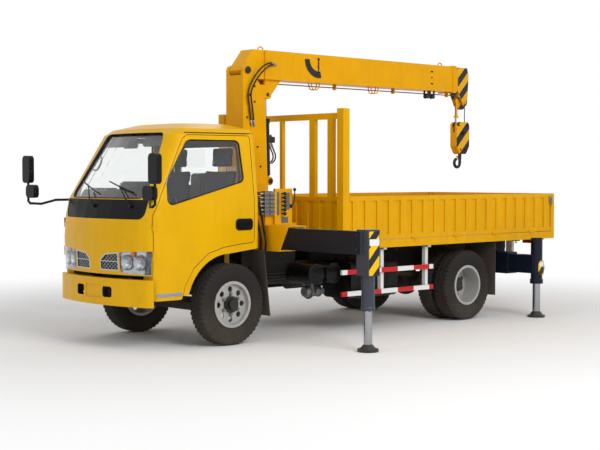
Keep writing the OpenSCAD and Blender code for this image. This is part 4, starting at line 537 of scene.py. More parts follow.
@dataclass(frozen=True)
class ClearFinish:
    """Glass with a faint film of dust, or a clear lens with upright flutes."""

    name: str
    slot: str
    colour: Colour
    roughness: float = 0.02
    dust: float = 0.04
    fluted: bool = False

    def material(self, effects: Effects) -> bpy.types.Material:
        """Builds the clear material.

        Args:
            effects: Shared node groups.

        Returns:
            The new material.
        """
        made = bpy.data.materials.new(self.name)
        made.use_nodes = True
        wiring = Wiring(made.node_tree)
        shader = made.node_tree.nodes["Principled BSDF"]
        film = wiring.group(effects.dust, Reach=FILM_REACH, Amount=self.dust).outputs["Mask"]
        wiring.put(shader.inputs["Base Color"], wiring.mix(film, self.colour, DUST))
        wiring.put(shader.inputs["Roughness"], wiring.math("MULTIPLY_ADD", film, 0.3, self.roughness))
        shader.inputs["Transmission Weight"].default_value = 1.0
        shader.inputs["IOR"].default_value = GLASS_IOR
        if self.fluted:
            scale, height, stretch = Grain.FLUTED.value
            source = wiring.group(effects.grain, Scale=scale, Stretch=stretch)
            wiring.put(shader.inputs["Normal"], wiring.bump(source, height, FLUTE_STRENGTH))
        return made


AnyFinish = Finish | ClearFinish

CAB_YELLOW = Finish(
    "cab_yellow", "cab_paint", srgb(229, 174, 0), 0.32,
    coat=0.05, dust=0.03, reach=0.9, wear=0.12, runs=0.1, shine=0.12,
)
BED_YELLOW = Finish(
    "bed_yellow", "bed_paint", srgb(226, 166, 0), 0.42,
    coat=0.03, dust=0.03, wear=0.16, runs=0.2, shine=0.1,
)
CRANE_YELLOW = Finish(
    "crane_yellow", "crane_paint", srgb(231, 166, 0), 0.36,
    coat=0.04, dust=0.03, wear=0.2, runs=0.14, shine=0.1,
)
NAVY = Finish("outrigger_navy", "navy", srgb(17, 24, 38), 0.34, coat=0.05, dust=0.012, wear=0.4, shine=0.16)
SLATE = Finish("leg_slate", "navy", srgb(52, 58, 70), 0.36, coat=0.06, dust=0.05, wear=0.5, shine=0.3)
CHASSIS_BLACK = Finish(
    "chassis_black", "frame", srgb(20, 20, 21), 0.5,
    dust=0.06, reach=1.2, wear=0.35, under=RUST, shine=0.14,
)
CAST_IRON = Finish("cast_iron", "cast", srgb(48, 46, 45), 0.6, dust=0.25, reach=0.9, grain=Grain.CAST)
LEAF_STEEL = Finish(
    "leaf_steel", "cast", srgb(42, 39, 37), 0.6,
    dust=0.25, wear=0.5, under=RUST, grain=Grain.CAST,
)
DRIVE_GREY = Finish("drive_grey", "drive", srgb(58, 57, 55), 0.55, dust=0.2, reach=1.0, grain=Grain.CAST)
TANK_BLACK = Finish("tank_black", "tank", srgb(11, 11, 12), 0.3, coat=0.06, dust=0.02, wear=0.3, shine=0.12)
GUARD_WHITE = Finish("guard_white", "guard", srgb(222, 222, 222), 0.4, dust=0.1, wear=0.45, runs=0.2)
RED_PAINT = srgb(198, 22, 34)
GUARD_HIGH = Finish(
    "guard_bar_high", "guard", RED_PAINT, 0.34,
    dust=0.06, wear=0.3, bands=Bands(BAND_WHITE, (1, 0, 0), 0.5, 0.06)
)
GUARD_LOW = Finish(
    "guard_bar_low", "guard", RED_PAINT, 0.34,
    dust=0.08, wear=0.3, bands=Bands(BAND_WHITE, (1, 0, 0), 0.5, 0.56)
)
GUARD_REAR = Finish(
    "guard_bar_rear", "guard", RED_PAINT, 0.34,
    dust=0.08, wear=0.3, bands=Bands(BAND_WHITE, (0, 1, 0), 0.4, 0.25)
)
FLAP_RUBBER = Finish("flap_rubber", "flap", srgb(66, 60, 57), 0.75, dust=0.3, grain=Grain.RUBBER)
COWL_BLACK = Finish(
    "cowl_black", "cowl", srgb(14, 15, 14), 0.36,
    coat=0.02, dust=0.008, grain=Grain.MOULDED, shine=0.1,
)
GRILLE_DARK = Finish("grille_dark", "grille", srgb(30, 30, 32), 0.5, dust=0.08, grain=Grain.MOULDED)
BRIGHT_TRIM = Finish(
    "bright_trim", "grille", srgb(176, 178, 180), 0.24,
    metallic=0.9, dust=0.04, grain=Grain.POLISHED,
)
TRIM_GREY = Finish("trim_grey", "trim", srgb(86, 86, 88), 0.66, dust=0.02, grain=Grain.MOULDED)
DASH_DARK = Finish("dash_dark", "trim", srgb(46, 46, 49), 0.6, dust=0.02, grain=Grain.MOULDED)
SEAT_CLOTH = Finish("seat_cloth", "trim", srgb(62, 66, 76), 0.85, dust=0.02, grain=Grain.WOVEN)
SEAL_RUBBER = Finish("seal_rubber", "mirror_black", srgb(20, 20, 21), 0.55, dust=0.05, grain=Grain.RUBBER)
MIRROR_BLACK = Finish(
    "mirror_black", "mirror_black", srgb(15, 15, 17), 0.34,
    coat=0.05, dust=0.015, grain=Grain.MOULDED, shine=0.14,
)
MIRROR_FACE = Finish(
    "mirror_face", "chrome", srgb(200, 206, 212), 0.05,
    metallic=1.0, dust=0.03, grain=Grain.POLISHED,
)
VALVE_ALLOY = Finish(
    "valve_alloy", "valve", srgb(128, 128, 128), 0.4,
    metallic=0.7, dust=0.08, grain=Grain.CAST,
)
KNOB_BLACK = Finish(
    "knob_black", "mirror_black", srgb(20, 20, 21), 0.25,
    coat=0.3, dust=0.04, grain=Grain.MOULDED,
)
PANEL_GREY = Finish(
    "panel_grey", "valve", srgb(104, 106, 104), 0.45,
    dust=0.04, wear=0.3, grain=Grain.MOULDED,
)
TYRE_RUBBER = Finish(
    "tyre_rubber", "tyre", srgb(42, 39, 38), 0.8,
    dust=0.16, reach=0.6, grain=Grain.RUBBER, shine=0.15,
)
GRILLE_WIRE = Finish(
    "grille_wire", "grille", srgb(158, 160, 160), 0.34,
    metallic=0.7, dust=0.03, grain=Grain.POLISHED,
)
RIM_SILVER = Finish(
    "rim_silver", "rim", srgb(176, 175, 172), 0.42,
    metallic=0.2, dust=0.14, reach=0.8, wear=0.3,
)
HUB_BLACK = Finish("hub_black", "cast", srgb(27, 26, 26), 0.36, dust=0.1, grain=Grain.CAST, shine=0.35)
CHROME = Finish(
    "hard_chrome", "chrome", srgb(164, 166, 170), 0.16,
    metallic=1.0, dust=0.03, grain=Grain.POLISHED,
)
REFLECTOR = Finish(
    "lamp_bowl", "lamp", srgb(198, 200, 204), 0.24,
    metallic=0.8, dust=0.0, grain=Grain.FLUTED,
)
LAMP_CLEAR = ClearFinish("lamp_clear", "lamp", srgb(240, 243, 246), 0.05, fluted=True)
TAIL_RED = Finish(
    "tail_lens", "lamp", srgb(186, 20, 18), 0.18,
    coat=0.5, bands=Bands(srgb(232, 130, 20), (0, 1, 0), 0.43, 0.3, 0.3)
)
AMBER = Finish("amber_lens", "lamp", srgb(232, 122, 16), 0.2, coat=0.4, dust=0.03, grain=Grain.FLUTED)
CAB_GLASS = ClearFinish("cab_pane", "glass", srgb(250, 252, 251), 0.0, 0.01)
ROPE_STEEL = Finish("wire_rope", "rope", srgb(96, 92, 88), 0.42, metallic=0.6, dust=0.04, grain=Grain.LAID)
HOOK_STEEL = Finish(
    "hook_steel", "hook_steel", srgb(46, 44, 44), 0.42,
    metallic=0.3, dust=0.03, wear=0.6, grain=Grain.CAST,
)
HOSE_RUBBER = Finish("hose_rubber", "mirror_black", srgb(25, 24, 25), 0.4, dust=0.06, grain=Grain.RUBBER)
ZINC = Finish(
    "bolt_zinc", "valve", srgb(150, 148, 142), 0.36,
    metallic=0.8, dust=0.08, grain=Grain.POLISHED,
)
WHITE_ENAMEL = Finish("white_enamel", "guard", srgb(228, 228, 230), 0.3, coat=0.1, dust=0.06)
LEG_HAZARD = Finish(
    "leg_hazard", "crane_paint", srgb(238, 190, 12), 0.36,
    dust=0.04, bands=Bands(BAND_BLACK, SLANT, 0.135, 0.12)
)
HEAD_HAZARD = Finish(
    "head_hazard", "crane_paint", srgb(230, 168, 4), 0.34,
    coat=0.1, dust=0.03, bands=Bands(BAND_BLACK, SLANT, 0.15, 0.1)
)
BLOCK_HAZARD = Finish(
    "block_hazard", "crane_paint", srgb(234, 176, 6), 0.36,
    dust=0.03, wear=0.4, bands=Bands(BAND_BLACK, SLANT, 0.17, 0.4)
)


class Paintshop:
    """Builds each finish once."""

    def __init__(self) -> None:
        """Builds the shared effects."""
        self.effects = Effects()
        self.made: dict[str, bpy.types.Material] = {}

    def get(self, finish: AnyFinish) -> bpy.types.Material:
        """Gives a finish's material.

        Args:
            finish: The finish.

        Returns:
            Its material, built at its first use.
        """
        if finish.name not in self.made:
            self.made[finish.name] = finish.material(self.effects)
        return self.made[finish.name]


def round_section(radius: float, sides: int = 10) -> list[Pair]:
    """Gives the points of a round bar's section."""
    turns = [math.tau * k / sides for k in range(sides)]
    return [(radius * math.cos(turn), radius * math.sin(turn)) for turn in turns]


def flat_section(width: float, height: float) -> list[Pair]:
    """Gives the section of a flat strip that stands on its line, with softened upper edges.

    Args:
        width: Width of the strip.
        height: Height of the strip.

    Returns:
        Points round the section.
    """
    half, soft = width / 2, min(width, height) * 0.3
    upper = [(half, height - soft), (half - soft, height), (soft - half, height), (-half, height - soft)]
    return [(-half, 0.0), (half, 0.0), *upper]


def round_rect(width: float, height: float, radius: float, steps: int = 5) -> list[Pair]:
    """Gives the outline of a rectangle with round corners.

    Args:
        width: Full width.
        height: Full height.
        radius: Corner radius.
        steps: Steps of each corner.

    Returns:
        Points round the middle, anticlockwise.
    """
    outline = []
    for turn, (sx, sy) in enumerate(((1, 1), (-1, 1), (-1, -1), (1, -1))):
        for k in range(steps + 1):
            angle = math.pi / 2 * (turn + k / steps)
            x = sx * (width / 2 - radius) + radius * math.cos(angle)
            outline.append((x, sy * (height / 2 - radius) + radius * math.sin(angle)))
    return outline


def smooth_path(points: Sequence[Vector], steps: int = 6) -> list[Vector]:
    """Runs a smooth curve through given points.

    Args:
        points: The points.
        steps: Steps between two of them.

    Returns:
        Points along the curve.
    """
    ends = [points[0] * 2 - points[1], *points, points[-1] * 2 - points[-2]]
    path = []
    for a, b, c, d in zip(ends, ends[1:], ends[2:], ends[3:]):
        for k in range(steps):
            t = k / steps
            bent = 2 * b + (c - a) * t + (2 * a - 5 * b + 4 * c - d) * t * t
            path.append(0.5 * (bent + (3 * b - a - 3 * c + d) * t ** 3))
    return [*path, points[-1].copy()]


def path_length(path: Sequence[Vector]) -> float:
    """Measures a path along its points."""
    return sum((b - a).length for a, b in zip(path, path[1:]))


class Shape:
    """A mesh under construction in the row frame."""

    def __init__(self) -> None:
        """Starts with no faces."""
        self.bm = bmesh.new()

    def block(self, low: Sequence[float], high: Sequence[float], soft: float = 0.0) -> None:
        """Adds a box with softened edges.

        Args:
            low: Lowest corner.
            high: Highest corner.
            soft: Width of the softened edges.
        """
        low, high = Vector(low), Vector(high)
        size = Matrix.Diagonal((*(high - low), 1.0))
        place = Matrix.Translation((low + high) / 2) @ size
        verts = bmesh.ops.create_cube(self.bm, size=1.0, matrix=place)["verts"]
        if soft:
            edges = list(dict.fromkeys(edge for vert in verts for edge in vert.link_edges))
            bmesh.ops.bevel(self.bm, geom=edges, offset=soft, segments=2, profile=0.5, affect="EDGES")

    def lathe(self, profile: Sequence[Pair], base: Vector, axis: Vector, steps: int = 32) -> None:
        """Turns a profile round an axis.

        Args:
            profile: Distances along the axis and radii; a radius of 0 closes an end.
            base: Point of the axis that distances start from.
            axis: Direction of the axis.
            steps: Steps of a full turn.
        """
        axis = Vector(axis).normalized()
        side = axis.orthogonal().normalized()
        other = axis.cross(side)
        rings = []
        for along, radius in profile:
            middle = Vector(base) + axis * along
            if radius < 1e-6:
                rings.append([self.bm.verts.new(middle)] * steps)
                continue
            ring = []
            for turn in (math.tau * k / steps for k in range(steps)):
                arm = (side * math.cos(turn) + other * math.sin(turn)) * radius
                ring.append(self.bm.verts.new(middle + arm))
            rings.append(ring)
        for ring, following in zip(rings, rings[1:]):
            self.bridge(ring, following)

    def bridge(self, ring: Sequence[bmesh.types.BMVert], following: Sequence[bmesh.types.BMVert]) -> None:
        """Joins two closed rings of the same number of points.

        Args:
            ring: Points of the first ring; a point may stand there several times.
            following: Points of the second ring.
        """
        for k in range(len(ring)):
            after = (k + 1) % len(ring)
            corners = dict.fromkeys((ring[k], ring[after], following[after], following[k]))
            if len(corners) > 2:
                self.bm.faces.new(corners)

    def sweep(
        self,
        path: Sequence[Vector],
        section: Sequence[Pair],
        normals: Sequence[Vector] | None = None,
        closed: bool = False,
    ) -> None:
        """Carries a section along a path.

        Args:
            path: Points of the path.
            section: Points across the path and along its normal.
            normals: Direction of the section's height at each point, or None to carry one along.
            closed: Joins the path's end to its start.
        """
        count = len(path)
        tangents = []
        for k in range(count):
            before = path[k - 1] if closed or k else path[0]
            after = path[(k + 1) % count] if closed or k < count - 1 else path[-1]
            tangents.append((after - before).normalized())
        up = tangents[0].orthogonal().normalized()
        rings = []
        for k, (point, tangent) in enumerate(zip(path, tangents)):
            up = normals[k] if normals else up
            side = tangent.cross(up).normalized()
            up = side.cross(tangent).normalized()
            rings.append([self.bm.verts.new(point + side * u + up * v) for u, v in section])
        for ring, following in zip(rings, rings[1:]):
            self.bridge(ring, following)
        if closed:
            self.bridge(rings[-1], rings[0])
        else:
            self.bm.faces.new(rings[0])
            self.bm.faces.new(rings[-1])

    def rod(self, points: Sequence[Vector], radius: float, sides: int = 8, steps: int = 4) -> None:
        """Adds a round bar that bends smoothly through points.

        Args:
            points: The points.
            radius: Radius of the bar.
            sides: Sides of its section.
            steps: Steps between two points.
        """
        self.sweep(smooth_path(points, steps), round_section(radius, sides))

    def plate(
        self, outline: Sequence[Pair], middle: Vector, across: Vector, up: Vector, depth: float
    ) -> None:
        """Adds a flat plate.

        Args:
            outline: Points across and up from the middle.
            middle: Middle of the plate's back face.
            across: Direction of the outline's first axis.
            up: Direction of the outline's second axis.
            depth: Thickness along the direction of across x up.
        """
        across, up = Vector(across).normalized(), Vector(up).normalized()
        out = across.cross(up).normalized() * depth
        back = [self.bm.verts.new(middle + across * x + up * y) for x, y in outline]
        front = [self.bm.verts.new(vert.co + out) for vert in back]
        self.bridge(back, front)
        self.bm.faces.new(back)
        self.bm.faces.new(front)

    def side_plate(self, size: Pair, corner: float, middle: Vector, sign: int, depth: float) -> None:
        """Adds an upright plate with round corners that faces out to one side of the truck.

        Args:
            size: Width and height.
            corner: Corner radius.
            middle: Middle of the plate's back face.
            sign: Side of the truck.
            depth: Thickness.
        """
        self.plate(round_rect(*size, corner), middle, AHEAD * -sign, UP, depth)

    def nut(self, middle: Vector, axis: Vector, across: float, height: float) -> None:
        """Adds a chamfered hexagon nut with its stud.

        Args:
            middle: Middle of the nut's seat.
            axis: Direction away from the seat.
            across: Width over the flats.
            height: Height of the nut; its stud stands half as much above it.
        """
        radius, top = across / math.sqrt(3), height * 1.5
        body = [(0, radius), (height * 0.75, radius), (height, radius * 0.84), (height, 0)]
        self.lathe(body, middle, axis, 6)
        self.lathe([(height, radius * 0.5), (top, radius * 0.46), (top, 0)], middle, axis, 10)

    def piece(self, name: str, material: bpy.types.Material, sharp: float = 38.0) -> bpy.types.Object:
        """Ends the mesh and makes an object of it.

        Args:
            name: Name of the piece.
            material: Its material.
            sharp: Angle in degrees over which an edge stays sharp.

        Returns:
            The new object.
        """
        bmesh.ops.recalc_face_normals(self.bm, faces=self.bm.faces)
        mesh = bpy.data.meshes.new(name)
        self.bm.to_mesh(mesh)
        self.bm.free()
        mesh.materials.append(material)
        mesh.polygons.foreach_set("use_smooth", [True] * len(mesh.polygons))
        mesh.set_sharp_from_angle(angle=math.radians(sharp))
        made = bpy.data.objects.new(name, mesh)
        bpy.context.scene.collection.objects.link(made)
        return made


@dataclass
class Truck:
    """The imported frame, its finishes and the places that pieces are built from.

    Attributes:
        shop: Maker of the finishes.
        brow_z: Height of the front panel just over the grilles.
        recess: Half of a grille's depth.
    """

    frame: dict
    shop: Paintshop
    brow_z: float = 0.912
    recess: float = 0.011
    front_x: float = field(init=False)
    trees: dict[str, BVHTree] = field(init=False, default_factory=dict)

    def __post_init__(self) -> None:
        """Finds the front axle."""
        low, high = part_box("front_left_tyre")
        self.front_x = (low.x + high.x) / 2

    @staticmethod
    def middle(node: str) -> Vector:
        """Gives the middle of a CAD node's box."""
        low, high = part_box(node)
        return (low + high) / 2

    def at(self, x: float, y: float, z: float) -> Vector:
        """Gives a point that is x in front of the front axle."""
        return Vector((self.front_x + x, y, z))

    def hit(self, node: str, start: Vector, way: Sequence[float]) -> tuple[Vector, Vector]:
        """Finds where a ray meets a CAD node.

        Args:
            node: Name of the node.
            start: Start of the ray.
            way: Direction of the ray.

        Returns:
            The point on the node and its normal there.
        """
        if node not in self.trees:
            mesh = self.frame["nodes"][node].data
            self.trees[node] = BVHTree.FromPolygons(
                [vert.co[:] for vert in mesh.vertices], [face.vertices[:] for face in mesh.polygons]
            )
        point, normal, _, _ = self.trees[node].ray_cast(start, Vector(way))
        if point is None:
            raise ValueError(f"no surface of {node} at {tuple(start)}")
        return point, normal

    def covered(self, node: str, start: Vector, way: Vector, reach: float = 0.012) -> bool:
        """Tells whether a CAD node lies close in front of a point.

        Args:
            node: Name of the node.
            start: The point.
            way: Direction to look in.
            reach: Distance that counts as close.

        Returns:
            True where the node is that close.
        """
        try:
            return (self.hit(node, start + way * 2e-4, way)[0] - start).length < reach
        except ValueError:
            return False

    def proud(self, point: Vector) -> bool:
        """Tells a grille's frame from the recess behind it."""
        skin = self.hit("cab_shell", Vector((point.x + 0.3, point.y, self.brow_z)), -AHEAD)[0]
        return abs(skin.x - point.x) < self.recess

    def dress(self, node: str, finish: AnyFinish, *zones: tuple[AnyFinish, FaceTest]) -> None:
        """Gives a CAD node its finish, and other finishes to some of its faces.

        Args:
            node: Name of the node.
            finish: Finish of most faces.
            *zones: Pairs of a finish and a test on a face's middle and normal.
        """
        mesh = self.frame["nodes"][node].data
        mesh.materials.clear()
        for one in (finish, *(zone[0] for zone in zones)):
            mesh.materials.append(self.shop.get(one))
        for face in mesh.polygons:
            face.material_index = 0
            for index, (_, test) in enumerate(zones, 1):
                if test(face.center, face.normal):
                    face.material_index = index

    def add(
        self, shape: Shape, name: str, finish: AnyFinish, body: str = "chassis", sharp: float = 38.0
    ) -> bpy.types.Object:
        """Ends a shape as a piece that rides on a body.

        Args:
            shape: The shape.
            name: Name of the piece.
            finish: Its finish.
            body: Body that it rides on.
            sharp: Angle in degrees over which an edge stays sharp.

        Returns:
            The piece.
        """
        made = shape.piece(name, self.shop.get(finish), sharp)
        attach(made, body)
        LOG.info("%s rides on %s with %d faces", name, body, len(made.data.polygons))
        return made

    def side_nuts(
        self, shape: Shape, places: Iterable[Pair], y: float, across: float, height: float
    ) -> None:
        """Adds the same nuts to both sides.

        Args:
            shape: Mesh that they go into.
            places: X from the front axle and Z of each nut.
            y: Distance of their seats from the middle.
            across: Width over the flats.
            height: Height of a nut.
        """
        for _, sign in sides():
            for x, z in places:
                shape.nut(self.at(x, sign * y, z), LEFT * sign, across, height)

    def rims(self, node: str, test: FaceTest) -> list[tuple[list[Vector], list[Vector]]]:
        """Finds the closed edges round some faces of a CAD node.

        Args:
            node: Name of the node.
            test: Test on a face's middle and normal.

        Returns:
            Points and outward normals of each edge loop.
        """
        bm = bmesh.new()
        bm.from_mesh(self.frame["nodes"][node].data)
        bmesh.ops.remove_doubles(bm, verts=bm.verts, dist=1e-5)
        chosen = {face for face in bm.faces if test(face.calc_center_median(), face.normal)}
        beside: dict[bmesh.types.BMVert, list[bmesh.types.BMVert]] = {}
        for edge in bm.edges:
            if sum(face in chosen for face in edge.link_faces) == 1:
                for one, other in (edge.verts, reversed(edge.verts)):
                    beside.setdefault(one, []).append(other)
        loops = []
        while beside:
            vert = next(iter(beside))
            walk = []
            while vert in beside:
                walk.append(vert)
                nexts = [other for other in beside.pop(vert) if other in beside]
                vert = nexts[0] if nexts else None
            normals = []
            for one in walk:
                total = sum((face.normal for face in one.link_faces if face in chosen), Vector())
                normals.append(total.normalized())
            if len(walk) > 8:
                loops.append(([one.co.copy() for one in walk], normals))
        bm.free()
        return loops


def sides() -> Iterable[tuple[str, int]]:
    """Gives the name and sign of each side."""
    return (("left", 1), ("right", -1))


@dataclass
class NodeDress:
    """Finishes of the CAD nodes that keep their own shape."""

    truck: Truck
    cabin: Point = (0.25, 0.0, 1.45)
    floor_z: float = 1.0
    bar_half: float = 0.009
    slot_y: Pair = (0.12, 0.31)
    slot_z: Pair = (0.47, 0.6)
    hub_r: float = 0.082
    sleeve: float = 0.03
    foot_top: float = 0.07
    head_x: float = -4.14
    sole_y: Pair = (0.28, 0.36)
    sole_z: Pair = (0.871, 0.96)
    knob_y: float = 0.621
    valves: Pair = (-0.705, 1.2)
    bar_y: float = 0.9035
    high_bar: Pair = (0.55, 0.7)
    low_bar: float = 0.5
    rear_bar: Pair = (-2.5, 0.56)

    def build(self) -> None:
        """Dresses every node."""
        plain = (
            (CHASSIS_BLACK, "frame_rails cross_members bed_bearers"),
            (CAST_IRON, "axles left_knuckle right_knuckle"),
            (LEAF_STEEL, "leaf_springs"),
            (DRIVE_GREY, "driveline"),
            (FLAP_RUBBER, "mud_flaps"),
            (TANK_BLACK, "tanks"),
            (COWL_BLACK, "cowl_panel"),
            (CAB_GLASS, "cab_glass left_door_glass right_door_glass"),
            (DASH_DARK, "cab_interior"),
            (MIRROR_BLACK, "mirrors"),
            (BED_YELLOW, "bed_floor head_frame left_board right_board tail_board"),
            (NAVY, "rear_jack_boxes lift_barrel"),
            (CRANE_YELLOW, "column boom_outer boom_middle"),
            (CHROME, "lift_rod"),
            (ROPE_STEEL, "hoist_rope rope_falls"),
            (HOOK_STEEL, "hook"),
            (TYRE_RUBBER, "front_left_tyre front_right_tyre rear_left_tyres rear_right_tyres"),
        )
        for finish, nodes in plain:
            for node in nodes.split():
                self.truck.dress(node, finish)
        self._cab()
        self._wheels()
        self._outriggers()
        self._crane()
        self._chassis()

    def _cab(self) -> None:
        """Dresses the cab with grey trim inside, and its lamps, grilles and bumper."""
        truck = self.truck
        middle = truck.at(*self.cabin)
        low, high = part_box("grilles")
        bar = (low.z + high.z) / 2

        def inside(centre: Vector, normal: Vector) -> bool:
            """Finds the faces that look into the cab."""
            return normal.dot((centre - middle).normalized()) < -0.3 and centre.z > self.floor_z - 0.3

        def under(centre: Vector, normal: Vector) -> bool:
            """Finds the faces below the floor that look down."""
            return normal.z < -0.6 and centre.z < self.floor_z

        def bright(centre: Vector, normal: Vector) -> bool:
            """Finds the front of the grilles' frames and of the bar across them."""
            return normal.x > 0.5 and (abs(centre.z - bar) < self.bar_half or truck.proud(centre))

        truck.dress("cab_shell", CAB_YELLOW, (TRIM_GREY, inside), (CHASSIS_BLACK, under))
        for side, sign in sides():
            truck.dress(f"{side}_door", CAB_YELLOW, (TRIM_GREY, lambda c, n, s=sign: n.y * s < -0.3))
        bowl = (REFLECTOR, lambda c, n: truck.covered("cab_shell", c, n))
        truck.dress("lamps", LAMP_CLEAR, bowl, (TAIL_RED, lambda c, n: c.x < 0))
        truck.dress("grilles", GRILLE_DARK, (BRIGHT_TRIM, bright))
        truck.dress("bumper", CAB_YELLOW, (CHASSIS_BLACK, self._slot))

    def _slot(self, centre: Vector, normal: Vector) -> bool:
        """Finds the bumper's rear faces and the walls of its slots."""
        (y0, y1), (z0, z1) = self.slot_y, self.slot_z
        return (y0 < abs(centre.y) < y1 and z0 < centre.z < z1 and normal.x < 0.5) or normal.x < -0.2

    def _wheels(self) -> None:
        """Dresses the wheels with dark hubs."""
        for node in ("front_left_wheel", "front_right_wheel", "rear_left_wheels", "rear_right_wheels"):

            def hub(centre: Vector, normal: Vector, m: Vector = self.truck.middle(node)) -> bool:
                """Finds the faces near the axle."""
                return math.hypot(centre.x - m.x, centre.z - m.z) < self.hub_r

            self.truck.dress(node, RIM_SILVER, (HUB_BLACK, hub))

    def _outriggers(self) -> None:
        """Dresses beams, legs and feet."""
        foot = (HUB_BLACK, lambda c, n: c.z < self.foot_top)
        for end, finish in (("front", SLATE), ("rear", NAVY)):
            for side, sign in sides():
                low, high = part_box(f"{end}_{side}_jack")
                reach = min(abs(low.y), abs(high.y)) - self.sleeve
                leg = (finish, lambda c, n, s=sign, r=reach: c.y * s > r)
                self.truck.dress(f"{end}_{side}_beam", NAVY, leg)
                self.truck.dress(f"{end}_{side}_jack", CHROME, foot)

    def _crane(self) -> None:
        """Dresses the boom's head, the hook block, the base and the control stations."""
        truck = self.truck
        head = truck.front_x + self.head_x
        panel = truck.front_x + self.valves[0]
        truck.dress("boom_inner", CRANE_YELLOW, (HEAD_HAZARD, lambda c, n: c.x < head and abs(n.y) > 0.7))
        truck.dress("hook_block", CRANE_YELLOW, (BLOCK_HAZARD, lambda c, n: abs(n.y) > 0.7))
        truck.dress("crane_base", CRANE_YELLOW, (CHASSIS_BLACK, self._sole))
        truck.dress(
            "control_stations",
            CRANE_YELLOW,
            (KNOB_BLACK, lambda c, n: abs(c.y) > self.knob_y),
            (VALVE_ALLOY, lambda c, n: c.x > panel and c.z > self.valves[1]),
        )

    def _sole(self, centre: Vector, normal: Vector) -> bool:
        """Finds the plates on which the crane's base stands."""
        (y0, y1), (low, high) = self.sole_y, self.sole_z
        return y0 < abs(centre.y) < y1 and (centre.z < low or abs(normal.y) > 0.9 and centre.z < high)

    def _chassis(self) -> None:
        """Dresses the guards' bars and posts."""
        (high0, high1), (rear_x, rear_z) = self.high_bar, self.rear_bar
        self.truck.dress(
            "guards",
            GUARD_WHITE,
            (GUARD_HIGH, lambda c, n: abs(c.y) > self.bar_y and high0 < c.z < high1),
            (GUARD_LOW, lambda c, n: abs(c.y) > self.bar_y and c.z < self.low_bar),
            (GUARD_REAR, lambda c, n: c.x < rear_x and c.z < rear_z),
        )


@dataclass
class Tyres:
    """Road tyres with lugged shoulders that stand for the plain tyre nodes."""

    truck: Truck
    lugs: int = 50
    depth: float = 0.012
    twin_pitch: float = 0.232
    width: float = 0.2
    seat_r: float = 0.2033
    section: Line = (
        (0.0, 0.76), (0.05, 0.79), (0.12, 0.79), (0.16, 0.83), (0.3, 0.93), (0.5, 1.0), (0.56, 0.985),
        (0.7, 0.985), (0.86, 0.94), (0.93, 0.86), (0.985, 0.8), (0.992, 0.62), (0.997, 0.45), (1.0, 0.3),
        (1.0, 0.18), (1.0, 0.06),
    )
    shoulder: int = 8
    centre_groove: tuple[int, int] = (13, 14)

    def build(self) -> None:
        """Builds the tyres of every wheel body."""
        for side, _ in sides():
            self._set(f"front_{side}_tyre", f"front_{side}_wheel", (0.0,))
            twins = (-self.twin_pitch / 2, self.twin_pitch / 2)
            self._set(f"rear_{side}_tyres", f"rear_{side}_wheels", twins)

    def _set(self, node: str, body: str, shifts: Sequence[float]) -> None:
        """Builds the tyres of one wheel body.

        Args:
            node: CAD node that they stand for.
            body: Body that they ride on.
            shifts: Places of the tyres along Y.
        """
        low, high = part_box(node)
        middle = (low + high) / 2
        radius = (high.x - low.x) / 2
        shape = Shape()
        for shift in shifts:
            self._tyre(shape, middle + Vector((0, shift, 0)), radius)
        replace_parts(self.truck.add(shape, f"{node}_tread", TYRE_RUBBER, body, 30.0), node)

    def _tyre(self, shape: Shape, middle: Vector, radius: float) -> None:
        """Adds one tyre round the Y axis.

        Args:
            shape: Mesh that it goes into.
            middle: Middle of the tyre.
            radius: Outer radius.
        """
        height = radius - self.seat_r
        half = [(self.seat_r + share * height, wide * self.width / 2) for share, wide in self.section]
        numbered = list(enumerate(half))
        profile = [(r, -y, k) for k, (r, y) in numbered] + [(r, y, k) for k, (r, y) in reversed(numbered)]
        steps = self.lugs * 4
        rings = []
        for j in range(steps):
            angle = math.tau * j / steps
            ring = []
            for r, y, k in profile:
                reach = r - self._cut(j, k, y)
                point = middle + Vector((reach * math.cos(angle), y, reach * math.sin(angle)))
                ring.append(shape.bm.verts.new(point))
            rings.append(ring)
        for j in range(steps):
            shape.bridge(rings[j], rings[(j + 1) % steps])

    def _cut(self, j: int, k: int, y: float) -> float:
        """Gives the tread's depth at one point.

        Args:
            j: Step round the tyre.
            k: Number of the point in the section.
            y: Place of the point across the tyre.

        Returns:
            Depth below the outer face.
        """
        turned = j + (2 if y > 0 else 0)
        if self.shoulder <= k <= self.shoulder + 3:
            return self.depth if turned % 4 == 0 else 0.0
        if k in self.centre_groove:
            swung = self.centre_groove[(turned // 2) % 2]
            return self.depth if k == swung else 0.0
        return 0.0


@dataclass
class WheelFittings:
    """Nuts, studs and valve stems of the wheels."""

    truck: Truck
    nuts: int = 6
    ring_r: float = 0.1
    across: float = 0.032
    height: float = 0.022
    disc_out: float = 0.046
    rear_disc: float = 0.006
    stem: Pair = (0.165, 0.04)

    def build(self) -> None:
        """Builds the fittings of each wheel body."""
        for end, out in (("front", self.disc_out), ("rear", self.rear_disc)):
            for side, sign in sides():
                plural = "s" if end == "rear" else ""
                body = f"{end}_{side}_wheel{plural}"
                middle = self.truck.middle(f"{end}_{side}_tyre{plural}")
                shape = Shape()
                axis = LEFT * sign
                for k in range(self.nuts):
                    angle = math.tau * (k + 0.5) / self.nuts
                    ring = Vector((math.cos(angle), 0, math.sin(angle))) * self.ring_r
                    shape.nut(middle + ring + axis * out, axis, self.across, self.height)
                stem = middle + axis * out + Vector((self.stem[0], 0, self.stem[1]))
                profile = [(-0.01, 0.006), (0.02, 0.006), (0.022, 0.004), (0.04, 0.004), (0.04, 0)]
                shape.lathe(profile, stem, axis, 10)
                self.truck.add(shape, f"{body}_nuts", ZINC, body)


